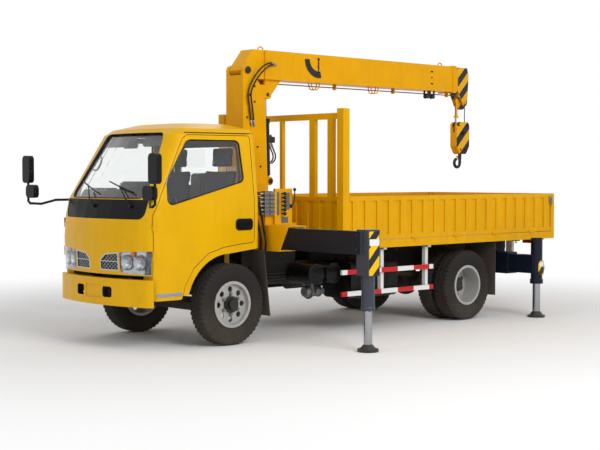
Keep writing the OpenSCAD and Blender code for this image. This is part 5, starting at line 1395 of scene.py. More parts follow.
@dataclass
class CabTrim:
    """Seals, handles, step strips, gutters, wipers, lamp bowls, grille mesh and mirror faces of the cab."""

    truck: Truck
    ahead: float = 1.6
    beside: float = 1.2
    seal_r: float = 0.011
    handle_x: float = -0.182
    handle_z: float = 1.14
    handle_size: Pair = (0.2, 0.1)
    step_x: Pair = (0.545, 0.82)
    step_z: float = 0.515
    gutter_z: float = 2.006
    gutter_x: Pair = (0.42, -0.36)
    bowls: Line = ((0.44, 0.068), (0.585, 0.068))
    bowl_z: float = 0.81
    turn_bulb: Pair = (0.515, 0.81 + 0.078)
    mirrors: tuple = ((1.045, 1.667, 0.1, 0.24), (0.97, 1.451, 0.122, 0.1))
    mirror_rear: float = 1.052
    strand_pitch: float = 0.037
    strand_r: float = 0.0032
    strand_lift: float = 0.008
    strand_steps: int = 44
    strand_span: Pair = (0.24, 0.76)
    strand_slope: float = 0.8
    strand_drop: float = 0.06
    strand_start: float = 3.3
    wiper_y: Pair = (0.46, -0.06)
    wiper_z: float = 1.325
    wiper_r: float = 0.007
    blade_z: Pair = (1.44, 0.1)
    blade_y: Pair = (0.02, 0.4)

    def build(self) -> None:
        """Builds the trim."""
        self._seals()
        self._handles()
        self._steps()
        self._gutters()
        self._wipers()
        self._lamps()
        self._mesh()
        self._mirrors()

    def _seals(self) -> None:
        """Runs rubber round every pane."""
        truck = self.truck

        def front_or_rear(centre: Vector, normal: Vector) -> bool:
            """Finds the outer faces of the windscreen and the rear pane."""
            return (normal.x > 0.3 and centre.x > 1.9) or (normal.x < -0.6 and centre.x < 1.53)

        panes = (
            ("cab_glass", "chassis", "cab_seals", front_or_rear),
            ("left_door_glass", "left_door", "left_door_seal", lambda c, n: n.y > 0.4),
            ("right_door_glass", "right_door", "right_door_seal", lambda c, n: n.y < -0.4),
        )
        for node, body, name, test in panes:
            shape = Shape()
            for path, normals in truck.rims(node, test):
                shape.sweep(path, round_section(self.seal_r, 8), normals, closed=True)
            truck.add(shape, name, SEAL_RUBBER, body, 60.0)

    def _handles(self) -> None:
        """Adds a recessed handle to each door."""
        truck = self.truck
        wide, high = self.handle_size
        for side, sign in sides():
            start = truck.at(self.handle_x, sign * self.beside, self.handle_z)
            point, normal = truck.hit(f"{side}_door", start, (0, -sign, 0))
            across = AHEAD * -sign
            up = normal.cross(across)
            shape = Shape()
            outline = round_rect(wide, high, 0.03)
            shape.plate(outline, point - normal * 0.002, across, up, 0.006)
            rim = [point + normal * 0.004 + across * x + up * y for x, y in outline]
            shape.sweep(rim, round_section(0.006, 8), [normal] * len(rim), closed=True)
            truck.add(shape, f"{side}_door_handle_cup", MIRROR_BLACK, f"{side}_door")
            grip = Shape()
            outline = round_rect(wide * 0.72, high * 0.5, 0.022)
            lip = [point + normal * 0.012 + across * x + up * y for x, y in outline]
            foot = round_rect(wide * 0.76, high * 0.54, 0.022)
            grip.plate(foot, point + normal * 0.004, across, up, 0.008)
            grip.sweep(lip, round_section(0.006, 8), [normal] * len(lip), closed=True)
            truck.add(grip, f"{side}_door_handle", COWL_BLACK, f"{side}_door")

    def _line(
        self, node: str, xs: Pair, sign: int, z: float, steps: int = 12
    ) -> tuple[list[Vector], list[Vector]]:
        """Lays a level line on the side of a node.

        Args:
            node: Name of the node.
            xs: Ends of the line from the front axle.
            sign: Side of the truck.
            z: Height of the line.
            steps: Steps along the line.

        Returns:
            Points and normals along the line.
        """
        points, normals = [], []
        for k in range(steps + 1):
            x = xs[0] + (xs[1] - xs[0]) * k / steps
            start = self.truck.at(x, sign * self.beside, z)
            point, normal = self.truck.hit(node, start, (0, -sign, 0))
            points.append(point)
            normals.append(normal)
        return points, normals

    def _steps(self) -> None:
        """Adds a ribbed bright strip low on each door."""
        for side, sign in sides():
            shape = Shape()
            for rib in (-0.012, 0.0, 0.012):
                path, normals = self._line(f"{side}_door", self.step_x, sign, self.step_z + rib)
                shape.sweep(path, flat_section(0.011, 0.006), normals)
            self.truck.add(shape, f"{side}_step_strip", BRIGHT_TRIM, f"{side}_door")

    def _gutters(self) -> None:
        """Adds a rain gutter over each door."""
        shape = Shape()
        for _, sign in sides():
            path, normals = self._line("cab_shell", self.gutter_x, sign, self.gutter_z)
            shape.sweep(path, flat_section(0.008, 0.007), normals)
        self.truck.add(shape, "cab_gutters", SEAL_RUBBER)

    def _wipers(self) -> None:
        """Lays two wipers on the windscreen."""
        truck = self.truck
        shape = Shape()
        for y0 in self.wiper_y:
            blade = []
            for k in range(9):
                y = y0 - self.blade_y[0] - self.blade_y[1] * k / 8
                z = self.blade_z[0] + self.blade_z[1] * k / 8
                point, normal = truck.hit("cab_glass", truck.at(self.ahead, y, z), -AHEAD)
                blade.append(point + normal * 0.02)
            shape.sweep(blade, round_section(self.wiper_r, 6))
            foot = truck.hit("cowl_panel", truck.at(self.ahead, y0, self.wiper_z), -AHEAD)[0]
            elbow = foot + Vector((0.03, -0.04, 0.06))
            arm = [foot + Vector((0.012, 0, 0)), elbow, blade[4] + Vector((0.012, 0, 0.004))]
            shape.rod(arm, self.wiper_r, 6)
            boss = [(-0.02, 0.018), (0.02, 0.018), (0.026, 0.012), (0.026, 0)]
            shape.lathe(boss, foot, Vector((1, 0, 0.3)), 14)
        truck.add(shape, "wipers", MIRROR_BLACK)

    def _lamps(self) -> None:
        """Puts bright bowls and an amber lamp behind the clear fronts."""
        truck = self.truck
        bright, amber = Shape(), Shape()
        for _, sign in sides():
            for y, radius in self.bowls:
                point, normal = truck.hit("lamps", truck.at(self.ahead, sign * y, self.bowl_z), -AHEAD)
                profile = [(-0.028, 0.0), (-0.028, radius * 0.3), (-0.02, radius * 0.6)]
                profile += [(-0.006, radius), (-0.009, radius * 1.04)]
                bright.lathe(profile, point, normal, 28)
                bright.lathe([(-0.028, 0.009), (-0.012, 0.009), (-0.009, 0.0)], point, normal, 12)
            y, z = self.turn_bulb
            point, normal = truck.hit("lamps", truck.at(self.ahead, sign * y, z), -AHEAD)
            amber.lathe([(-0.024, 0), (-0.024, 0.026), (-0.008, 0.024), (-0.002, 0)], point, normal, 16)
        truck.add(bright, "lamp_bowls", REFLECTOR)
        truck.add(amber, "turn_bulbs", AMBER)

    def _mesh(self) -> None:
        """Weaves a diamond mesh into both grilles."""
        low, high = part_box("grilles")
        shape = Shape()
        for _, sign in sides():
            for lean in (1, -1):
                for k in range(-8, 24):
                    start = low.z + k * self.strand_pitch
                    self._strand(shape, sign, lean, start, (low.z, high.z), high.y)
        self.truck.add(shape, "grille_mesh", GRILLE_WIRE)

    def _strand(self, shape: Shape, sign: int, lean: int, start: float, zs: Pair, reach: float) -> None:
        """Lays one slanted strand wherever the grille is recessed.

        Args:
            shape: Mesh that it goes into.
            sign: Side of the truck.
            lean: Direction of the slant.
            start: Height at the inner end for a rising strand, or at the outer end for a falling one.
            zs: Lower and upper end of the grille.
            reach: Outer end of the grille.
        """
        run: list[Vector] = []
        inner, span = self.strand_span
        for k in range(self.strand_steps + 2):
            across = reach * (inner + span * k / self.strand_steps)
            z = start + (across if lean > 0 else reach - across) * self.strand_slope - self.strand_drop
            point = None
            if k <= self.strand_steps and zs[0] < z < zs[1]:
                ray = Vector((self.strand_start, sign * across, z))
                try:
                    point, normal = self.truck.hit("grilles", ray, -AHEAD)
                except ValueError:
                    point = None
            if point is not None and not self.truck.proud(point):
                run.append(point + normal * self.strand_lift)
                continue
            if len(run) > 2:
                shape.sweep(run, round_section(self.strand_r, 5))
            run = []

    def _mirrors(self) -> None:
        """Adds the mirror faces, which look back."""
        shape = Shape()
        for _, sign in sides():
            for y, z, wide, high in self.mirrors:
                middle = self.truck.at(self.mirror_rear, sign * y, z)
                shape.plate(round_rect(wide, high, 0.026), middle, -LEFT, UP, 0.003)
        self.truck.add(shape, "mirror_faces", MIRROR_FACE)


@dataclass
class Cockpit:
    """Dashboard, steering wheel and seats that stand for the plain cab interior."""

    truck: Truck
    dash_x: Pair = (0.606, 0.816)
    dash_y: float = 0.62
    dash_z: Pair = (1.02, 1.3)
    pad_section: Line = (
        (0.62, 1.27), (0.6, 1.4), (0.63, 1.455), (0.69, 1.475), (0.74, 1.465), (0.785, 1.4), (0.795, 1.36),
        (0.795, 1.27),
    )
    pad_y: float = 0.57
    pillar_handle: tuple[Point, ...] = (
        (0.556, 0.6, 1.79), (0.52, 0.585, 1.785), (0.535, 0.58, 1.72), (0.575, 0.585, 1.66),
        (0.63, 0.6, 1.665),
    )
    wheel: Point = (0.433, 0.36, 1.308)
    wheel_r: float = 0.195
    wheel_lean: float = 62.0
    seat_y: float = 0.36
    seat_w: float = 0.48
    seat_x: float = -0.229
    seat_z: float = 0.9723
    cushion: Pair = (0.57, 0.15)
    back: Pair = (0.11, 0.56)
    head_rest: Point = (0.19, 0.27, 0.07)
    fill: float = 0.8
    voxel: float = 0.012
    swell: float = 0.012
    pressure: float = 4.0
    moments: int = 20
    seam_depth: float = 0.014
    seam_width: float = 0.02
    pad_grid: tuple[int, int] = (40, 34)

    def build(self) -> None:
        """Builds the pieces."""
        self._dash()
        self._dash_top()
        self._overhead()
        self._steering()
        for side, sign in sides():
            self._seat(side, sign)

    def _dash(self) -> None:
        """Builds the dashboard with its hood, vents and console."""
        truck = self.truck
        (x0, x1), (z0, z1) = self.dash_x, self.dash_z
        shape = Shape()
        y = self.dash_y
        for low, high, soft in (
            ((x0 + 0.03, -y, z0 + 0.06), (x1, y, z1 - 0.02), 0.03),
            ((x0, -y + 0.04, z0), (x0 + 0.12, y - 0.04, z1 - 0.1), 0.03),
            ((x0 + 0.01, 0.2, z1 - 0.07), (x1 - 0.05, 0.52, z1), 0.03),
            ((0.66, -0.05, 0.785), (0.76, 0.05, z0 + 0.1), 0.02),
        ):
            shape.block(truck.at(*low), truck.at(*high), soft)
        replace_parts(truck.add(shape, "dashboard", DASH_DARK), "cab_interior")
        vents = Shape()
        for y in (-0.5, -0.12, 0.1, 0.56):
            for k in range(4):
                z = z1 - 0.13 + 0.014 * k
                high = truck.at(x0 + 0.034, y + 0.045, z + 0.008)
                vents.block(truck.at(x0 + 0.022, y - 0.045, z), high, 0.002)
        truck.add(vents, "dash_vents", KNOB_BLACK)

    def _dash_top(self) -> None:
        """Builds the pad under the windscreen, the instrument hood and the tray between the seats."""
        truck = self.truck
        shape = Shape()
        outline = [(-x, z) for x, z in self.pad_section]
        shape.plate(outline, truck.at(0, -self.pad_y, 0), -AHEAD, UP, self.pad_y * 2)
        shape.block(truck.at(0.6, -0.02, 1.43), truck.at(0.73, 0.44, 1.55), 0.045)
        shape.block(truck.at(0.64, -0.5, 1.43), truck.at(0.72, -0.12, 1.487), 0.02)
        truck.add(shape, "dash_top", DASH_DARK)
        tray = Shape()
        tray.block(truck.at(-0.285, -0.108, 1.09), truck.at(-0.205, 0.108, 1.63), 0.03)
        tray.block(truck.at(-0.21, -0.08, 1.14), truck.at(-0.19, 0.08, 1.58), 0.012)
        cup = [(0.0, 0.045), (0.008, 0.045), (0.008, 0.036), (0.002, 0.034), (0.002, 0)]
        for z in (1.24, 1.34):
            tray.lathe(cup, truck.at(-0.19, 0, z), AHEAD, 24)
        truck.add(tray, "centre_tray", TRIM_GREY)

    def _overhead(self) -> None:
        """Hangs the inside mirror, two visors and the pillar handles."""
        truck = self.truck
        mirror = Shape()
        face = truck.at(0.535, -0.06, 1.9)
        mirror.plate(round_rect(0.22, 0.075, 0.036), face, -LEFT, UP, -0.022)
        stalk = [face + Vector((x, 0, z)) for x, z in ((0.012, 0.02), (0.03, 0.035), (0.052, 0.04))]
        mirror.sweep(stalk, round_section(0.008, 8))
        truck.add(mirror, "inside_mirror", MIRROR_BLACK)
        visors = Shape()
        up = Vector((-0.52, 0, 0.85)).normalized()
        handles = Shape()
        for _, sign in sides():
            visors.plate(round_rect(0.44, 0.15, 0.03), truck.at(0.475, sign * 0.3, 1.95), -LEFT, up, 0.016)
            handles.rod([truck.at(x, sign * y, z) for x, y, z in self.pillar_handle], 0.01)
        truck.add(visors, "sun_visors", TRIM_GREY)
        truck.add(handles, "pillar_handles", TRIM_GREY)

    def _steering(self) -> None:
        """Builds the steering wheel on its column."""
        truck = self.truck
        middle = truck.at(*self.wheel)
        lean = math.radians(self.wheel_lean)
        axis = Vector((-math.sin(lean), 0, math.cos(lean)))
        side = LEFT
        up = axis.cross(side)
        shape = Shape()
        turns = [math.tau * k / 40 for k in range(40)]
        rim = [middle + (side * math.cos(t) + up * math.sin(t)) * self.wheel_r for t in turns]
        shape.sweep(rim, round_section(0.014, 10), [axis] * len(rim), closed=True)
        for turn in (0.25, 0.58, 0.92):
            spoke = (side * math.cos(math.tau * turn) + up * math.sin(math.tau * turn)) * self.wheel_r
            ends = [middle + spoke * 0.2, middle + spoke * 0.98 - axis * 0.004]
            shape.sweep(ends, flat_section(0.03, 0.012), [axis] * 2)
        hub = [(-0.3, 0.026), (-0.06, 0.03), (-0.05, 0.05), (0.0, 0.062), (0.012, 0.05), (0.016, 0)]
        shape.lathe(hub, middle, axis, 24)
        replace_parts(truck.add(shape, "steering_wheel", KNOB_BLACK), "cab_interior")

    def _seat(self, side: str, sign: int) -> None:
        """Builds one seat as a stuffed cushion and back with sewn channels.

        Args:
            side: Name of the side.
            sign: Sign of the side.
        """
        truck = self.truck
        y = sign * self.seat_y
        length, height = self.cushion
        thick, tall = self.back
        base = truck.at(self.seat_x, y, self.seat_z)
        width = self.seat_w - 0.03
        leant = Matrix.Rotation(-math.atan2(tall, -thick / 2), 4, "Y")
        upright = Matrix.Rotation(-math.atan2(1.0, -0.06), 4, "Y")
        on_base = Matrix.Translation(base + Vector((length / 2, 0, height / 2)))
        behind = Matrix.Translation(base + Vector((thick / 4, 0, height + tall / 2)))
        above = Matrix.Translation(base + Vector((-0.018, 0, height + tall + 0.1)))
        pads = (
            (f"{side}_seat_cushion", (length - 0.03, width, height - 0.035), (0.18, 0.5, 0.82), on_base),
            (f"{side}_seat_back", (tall - 0.04, width, thick - 0.03), (0.25, 0.5, 0.75), behind @ leant),
            (f"{side}_head_rest", self.head_rest, (), above @ upright),
        )
        posts = Shape()
        for way in (-0.06, 0.06):
            top = base + Vector((-0.016, way, height + tall))
            posts.sweep([top - Vector((0, 0, 0.05)), top + Vector((0, 0, 0.05))], round_section(0.007, 8))
        truck.add(posts, f"{side}_head_posts", CHROME)
        for name, size, channels, place in pads:
            made = self._pad(*size).piece(name, truck.shop.get(SEAT_CLOTH), 80.0)
            self._stuff(made)
            self._sew(made, size[0], channels)
            made.data.transform(place)
            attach(made, "chassis")
            if channels:
                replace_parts(made, "cab_interior")
            LOG.info("%s has %d faces", name, len(made.data.polygons))

    def _stuff(self, pad: bpy.types.Object) -> None:
        """Swells a pad by a short cloth simulation with pressure inside.

        Args:
            pad: The pad round the origin; its mesh takes the result.
        """
        scene = bpy.context.scene
        remesh = pad.modifiers.new("remesh", "REMESH")
        remesh.mode = "VOXEL"
        remesh.voxel_size = self.voxel
        self._apply(pad)
        before = [vert.co.copy() for vert in pad.data.vertices]
        cloth = pad.modifiers.new("cloth", "CLOTH")
        cloth.settings.use_pressure = True
        cloth.settings.uniform_pressure_force = self.pressure
        cloth.settings.effector_weights.gravity = 0.0
        for moment in range(1, self.moments + 1):
            scene.frame_set(moment)
        self._apply(pad)
        scene.frame_set(1)
        for vert, old in zip(pad.data.vertices, before):
            moved = vert.co - old
            vert.co = old + moved * min(1.0, self.swell / max(moved.length, 1e-9))
        smooth = pad.modifiers.new("smooth", "SUBSURF")
        smooth.levels = smooth.render_levels = 1

    @staticmethod
    def _apply(pad: bpy.types.Object) -> None:
        """Puts the result of a piece's modifiers into its mesh.

        Args:
            pad: The piece, which ends without modifiers.
        """
        graph = bpy.context.evaluated_depsgraph_get()
        shaped = bpy.data.meshes.new_from_object(pad.evaluated_get(graph))
        shaped.materials.clear()
        for material in pad.data.materials:
            shaped.materials.append(material)
        pad.modifiers.clear()
        pad.data = shaped
        shaped.polygons.foreach_set("use_smooth", [True] * len(shaped.polygons))

    def _sew(self, pad: bpy.types.Object, length: float, channels: Sequence[float]) -> None:
        """Draws sewn channels into a pad's top.

        Args:
            pad: The pad round the origin.
            length: Length of the pad along X.
            channels: Places of the channels, as shares of the length.
        """
        for vert in pad.data.vertices:
            if vert.co.z > 0:
                share = vert.co.x / length + 0.5
                dips = (math.exp(-(((share - c) / self.seam_width) ** 2)) for c in channels)
                vert.co.z -= sum(self.seam_depth * dip for dip in dips)

    def _pad(self, length: float, width: float, height: float) -> Shape:
        """Shapes a crowned pad whose sides pull in between its corners.

        Args:
            length: Size along X.
            width: Size along Y.
            height: Size along Z.

        Returns:
            The pad round the origin.
        """
        shape = Shape()
        columns, rows = self.pad_grid
        rings = []
        for top in (1, -1):
            sheet = []
            for i in range(columns + 1):
                line = []
                for j in range(rows + 1):
                    u, v = i / columns, j / rows
                    fall = (1 - abs(2 * u - 1) ** 6) * (1 - abs(2 * v - 1) ** 6)
                    z = top * height / 2 * (0.5 + 0.5 * math.sqrt(max(fall, 0.0)))
                    pull = 1 - 0.02 * math.sin(math.pi * v) * abs(2 * u - 1) ** 4
                    wide = 1 - 0.02 * math.sin(math.pi * u) * abs(2 * v - 1) ** 4
                    place = ((u - 0.5) * length * pull, (v - 0.5) * width * wide, z)
                    line.append(shape.bm.verts.new(place))
                sheet.append(line)
            for i in range(columns):
                near, far = sheet[i], sheet[i + 1]
                for j in range(rows):
                    shape.bm.faces.new((near[j], far[j], far[j + 1], near[j + 1]))
            edge = [sheet[i][0] for i in range(columns)] + [sheet[columns][j] for j in range(rows)]
            edge += [sheet[i][rows] for i in range(columns, 0, -1)]
            edge += [sheet[0][j] for j in range(rows, 0, -1)]
            rings.append(edge)
        shape.bridge(rings[0], rings[1])
        return shape


@dataclass
class CraneFittings:
    """Hoses, lock valve, pins, bolts, angle scales, eyes, rope runs and head pieces of the crane."""

    truck: Truck
    route_points: int = 39
    hose_r: float = 0.0078
    crimp: Line = (
        (-0.012, 0.0), (-0.012, 1.2), (0.008, 1.2), (0.01, 1.45), (0.05, 1.35), (0.054, 1.02),
    )
    column_bolts: Line = (
        (-0.8, 2.43), (-0.86, 2.36), (-0.76, 2.2), (-0.9, 1.9), (-0.94, 1.7), (-0.86, 2.52),
    )
    scale_r: Pair = (0.2, 0.13)
    pointer: Line = ((-0.004, 0.0), (0.004, 0.0), (0.009, -0.1), (0.0, -0.15), (-0.009, -0.1))
    eyes: Pair = (-3.9, -1.06)
    collar_bolts: Line = (
        (-3.62, 2.68), (-3.63, 2.75), (-3.62, 2.82), (-3.64, 2.68), (-3.64, 2.82),
    )
    rope_r: float = 0.006
    rope_z: float = 2.5663
    guides: Pair = (-1.83, -2.755)
    guide_y: float = 0.022
    guide_line: Line = (
        (0.06, 2.604), (0.052, 2.56), (0.03, 2.535), (-0.03, 2.535), (-0.052, 2.56), (-0.06, 2.604),
    )
    block_pin: Pair = (-4.275, 2.12)
    block_bolts: Line = ((-4.2, 2.21), (-4.35, 2.21), (-4.23, 1.92), (-4.32, 1.92))
    rollers: Pair = (-3.66, -3.76)
    roller: Line = (
        (-0.024, 0.0), (-0.024, 0.028), (-0.016, 0.03), (-0.006, 0.02), (0.006, 0.02), (0.016, 0.03),
        (0.024, 0.028), (0.024, 0.0),
    )

    def build(self) -> None:
        """Builds the fittings."""
        self._boom_hoses()
        self._cylinder_hoses()
        self._valve_hoses()
        self._pins()
        self._indicator()
        self._eyes()
        self._rope()
        self._guides()
        self._hook()
        self._rollers()
        self._bracket()

    def _hose(
        self, name: str, points: Sequence[Point], bodies: tuple[str, ...], bend: tuple[Point, ...] = ()
    ) -> None:
        """Adds one hydraulic hose with crimped ends.

        Args:
            name: Name of the piece.
            points: Points of its route from the front axle.
            bodies: Body that it rides on, or, with a bend, the two bodies that its upper and lower ferrules
                ride on.
            bend: Start and end of a bend between two bodies; when given, the hose rides on no body and
                keeps its built shape, and these points are not used.
        """
        truck = self.truck
        path = smooth_path([truck.at(*point) for point in points], self.route_points // (len(points) - 1))
        shape = Shape()
        shape.sweep(path, round_section(self.hose_r, 10))
        made = shape.piece(name, truck.shop.get(HOSE_RUBBER), 60.0)
        if bend:
            truck.at(*bend[0])
            truck.at(*bend[1])
            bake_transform(made)
        else:
            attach(made, bodies[0])
        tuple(path[0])
        round(path_length(path), 4)
        LOG.info("%s is %.3f m long", name, path_length(path))
        profile = [(along, self.hose_r * share) for along, share in self.crimp]
        ends = (("upper", path[0], path[1], bodies[-1]), ("lower", path[-1], path[-2], bodies[0]))
        for tag, end, inner, body in ends:
            cap = Shape()
            cap.lathe(profile, end, (inner - end).normalized(), 12)
            truck.add(cap, f"{name}_{tag}_ferrule", ZINC, body)

    def _boom_hoses(self) -> None:
        """Leads two hoses from the column's side to the boom's root."""
        for k in range(2):
            d = 0.036 * k
            y = 0.16 + 0.006 * k
            points = (
                (-1.13 - d, 0.122, 2.765 - d * 0.3), (-1.06 - d * 0.6, 0.15, 2.768 - d * 0.6),
                (-0.94 - d * 0.6, y + 0.01, 2.72 - d * 0.8), (-0.82 - d, y + 0.012, 2.6 - d * 0.3),
                (-0.755 - d, y, 2.45), (-0.775 - d, y - 0.004, 2.29), (-0.81 - d, 0.147, 2.12),
            )
            bend = ((-0.77, y, 2.46), (-1.06, y, 2.768))
            self._hose(f"boom_hose_{k + 1}", points, ("column", "boom_outer"), bend)

    def _cylinder_hoses(self) -> None:
        """Hangs two hoses from the cylinder's lock valve down to its lower ports."""
        truck = self.truck
        valve = Shape()
        valve.block(truck.at(-1.23, -0.04, 1.948), truck.at(-1.15, 0.04, 2.012), 0.006)
        valve.nut(truck.at(-1.2, 0.0, 2.011), UP, 0.03, 0.016)
        route = (
            (-1.19, 1.944), (-1.209, 1.908), (-1.227, 1.872), (-1.246, 1.836), (-1.253, 1.811),
            (-1.249, 1.783), (-1.235, 1.76), (-1.213, 1.745), (-1.187, 1.74), (-1.162, 1.74),
        )
        for k, y in enumerate((0.019, -0.019)):
            valve.nut(truck.at(-1.229, y, 1.985), -AHEAD, 0.022, 0.01)
            self._hose(f"cylinder_hose_{k + 1}", [(x, y, z) for x, z in route], ("lift_barrel",))
        truck.add(valve, "lock_valve", CAST_IRON, "lift_barrel")

    def _valve_hoses(self) -> None:
        """Leads hoses from the left valve bank round the base and down to the frame."""
        for k in range(5):
            z = 1.227 + 0.04 * k
            x = -0.462 + 0.014 * (k % 3)
            y = 0.68 + 0.026 * k
            points = (
                (-0.572, 0.54 + 0.012 * k, z), (-0.535, 0.543 + 0.013 * k, z - 0.001),
                (-0.488, 0.565 + 0.016 * k, z - 0.026), (x, 0.615 + 0.02 * k, z - 0.09),
                (x, y - 0.014, 1.05 - 0.01 * k), (x + 0.004, y, 0.93), (x, y - 0.03, 0.82),
                (x - 0.003, y - 0.1 - 0.006 * k, 0.735 - 0.008 * k),
                (x - 0.006, 0.47 + 0.006 * k, 0.69 - 0.016 * k), (x - 0.01, 0.366, 0.67 - 0.022 * k),
            )
            self._hose(f"valve_hose_{k + 1}", points, ("chassis",))

    def _pins(self) -> None:
        """Caps the boom's pin and the cylinder's pins, and bolts the column's plates."""
        truck = self.truck
        pins = (
            ("boom_pin_caps", "boom_outer", (-0.764, 2.68), 0.148, 0.036),
            ("rod_pin_caps", "lift_rod", (-1.1, 2.445), 0.041, 0.022),
            ("lower_pin_caps", "column", (-1.124, 1.549), 0.088, 0.028),
        )
        for name, body, (x, z), y, radius in pins:
            shape = Shape()
            rim = [(-0.002, radius), (0.006, radius), (0.009, radius * 0.86)]
            profile = [*rim, (0.009, radius * 0.3), (0.006, 0)]
            for _, sign in sides():
                shape.lathe(profile, truck.at(x, sign * y, z), LEFT * sign, 24)
            truck.add(shape, name, HUB_BLACK, body)
        bolts = Shape()
        truck.side_nuts(bolts, self.column_bolts, 0.134, 0.02, 0.01)
        truck.add(bolts, "column_bolts", HUB_BLACK, "column")

    def _indicator(self) -> None:
        """Adds the boom's angle scale and its hanging pointer on both sides."""
        truck = self.truck
        scale, pointer = Shape(), Shape()
        outer, inner = self.scale_r
        turns = [math.radians(182 + 100 * k / 12) for k in range(13)]
        arc = [(math.cos(turn), math.sin(turn)) for turn in turns]
        ring = [(c * outer, s * outer) for c, s in arc] + [(c * inner, s * inner) for c, s in reversed(arc)]
        for _, sign in sides():
            face = truck.at(-1.79, sign * 0.111, 2.85)
            across = AHEAD * -sign
            scale.plate([(sign * x, y) for x, y in ring], face, across, UP, 0.003)
            pointer.plate(self.pointer, face + Vector((0, sign * 0.004, 0)), across, UP, 0.003)
            pointer.lathe([(0, 0.014), (0.008, 0.014), (0.01, 0.01), (0.01, 0)], face, LEFT * sign, 16)
        truck.add(scale, "angle_scales", KNOB_BLACK, "boom_outer")
        truck.add(pointer, "angle_pointers", HUB_BLACK, "boom_outer")

    def _eyes(self) -> None:
        """Adds two lifting eyes on the boom and the bolts of its collar."""
        truck = self.truck
        shape = Shape()
        for x in self.eyes:
            foot = truck.hit("boom_outer", truck.at(x, 0.0, 3.3), -UP)[0]
            turns = [math.pi * k / 10 for k in range(11)]
            arch = [foot + Vector((0.035 * math.cos(t), 0, 0.012 + 0.03 * math.sin(t))) for t in turns]
            arch = [arch[0] - UP * 0.014, *arch, arch[-1] - UP * 0.014]
            shape.sweep(arch, round_section(0.007, 8))
        truck.add(shape, "boom_eye", CRANE_YELLOW, "boom_outer")
        bolts = Shape()
        truck.side_nuts(bolts, self.collar_bolts, 0.11, 0.016, 0.008)
        truck.add(bolts, "boom_bolts", HUB_BLACK, "boom_outer")

    def _rope(self) -> None:
        """Leads the rope over the boom's mouths to the head sheave."""
        truck = self.truck
        ends = (("boom_outer", "boom_middle", -4.06, -4.1), ("boom_middle", "boom_inner", -4.1, -4.2))
        for a, b, x0, x1 in ends:
            name = f"rope_{a}_{b}"
            shape = Shape()
            path = [truck.at(x0 + (x1 - x0) * k / 12, 0, self.rope_z) for k in range(13)]
            shape.sweep(path, round_section(self.rope_r, 10))
            made = shape.piece(name, truck.shop.get(ROPE_STEEL), 60.0)
            reach = (x1 - x0) * 0.3
            start, end = (truck.at(x, 0, self.rope_z) for x in (x0 + reach, x1 - reach))
            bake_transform(made)
            LOG.info("%s runs from %s to %s", name, a, b)

    def _guides(self) -> None:
        """Hangs two bent guide bars beside the rope under the boom."""
        shape = Shape()
        half = LEFT * self.guide_y
        for x in self.guides:
            for _, sign in sides():
                path = [self.truck.at(x + along, sign * self.guide_y, z) for along, z in self.guide_line]
                shape.rod(path, self.rope_r)
            foot = self.truck.at(x, 0, 2.535)
            shape.sweep([foot - half, foot + half], round_section(self.rope_r, 8))
        self.truck.add(shape, "rope_guides", CRANE_YELLOW, "boom_outer")

    def _hook(self) -> None:
        """Adds the block's pin and bolts, and the hook's latch."""
        truck = self.truck
        bolts = Shape()
        truck.side_nuts(bolts, (self.block_pin,), 0.05, 0.04, 0.02)
        truck.side_nuts(bolts, self.block_bolts, 0.05, 0.018, 0.009)
        truck.add(bolts, "block_bolts", HUB_BLACK, "hook_block")
        low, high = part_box("hook")
        middle = (low + high) / 2
        throat = Vector((middle.x, middle.y, low.z + (high.z - low.z) * 0.62))
        latch = Shape()
        path = [throat + Vector((x, 0, z)) for x, z in ((0.012, 0.018), (-0.012, -0.004), (-0.034, -0.034))]
        latch.sweep(smooth_path(path, 4), flat_section(0.02, 0.004), [Vector((0.6, 0, 0.8))] * 9)
        truck.add(latch, "hook_latch", ZINC, "hook")

    def _rollers(self) -> None:
        """Hangs the rope's rollers under the boom between their cheeks."""
        truck = self.truck
        shape = Shape()
        for x in self.rollers:
            for _, sign in sides():
                y = sign * 0.03
                high = truck.at(x + 0.016, y + 0.003, 2.602)
                shape.block(truck.at(x - 0.016, y - 0.003, 2.555), high, 0.002)
            shape.lathe(self.roller, truck.at(x, 0, 2.54), LEFT, 24)
        truck.add(shape, "boom_rollers", HUB_BLACK, "boom_outer")

    def _bracket(self) -> None:
        """Adds the bracket at the boom's head and the small weight that hangs from it."""
        truck = self.truck
        shape = Shape()
        shape.block(truck.at(-4.158, 0.052, 2.31), truck.at(-4.132, 0.062, 2.53), 0.003)
        shape.block(truck.at(-4.17, 0.03, 2.3), truck.at(-4.12, 0.07, 2.322), 0.004)
        weight = [(0, 0.004), (-0.1, 0.004), (-0.1, 0.014), (-0.14, 0.014), (-0.14, 0)]
        shape.lathe(weight, truck.at(-4.15, 0.05, 2.31), UP, 14)
        truck.add(shape, "head_bracket", CRANE_YELLOW, "boom_inner")


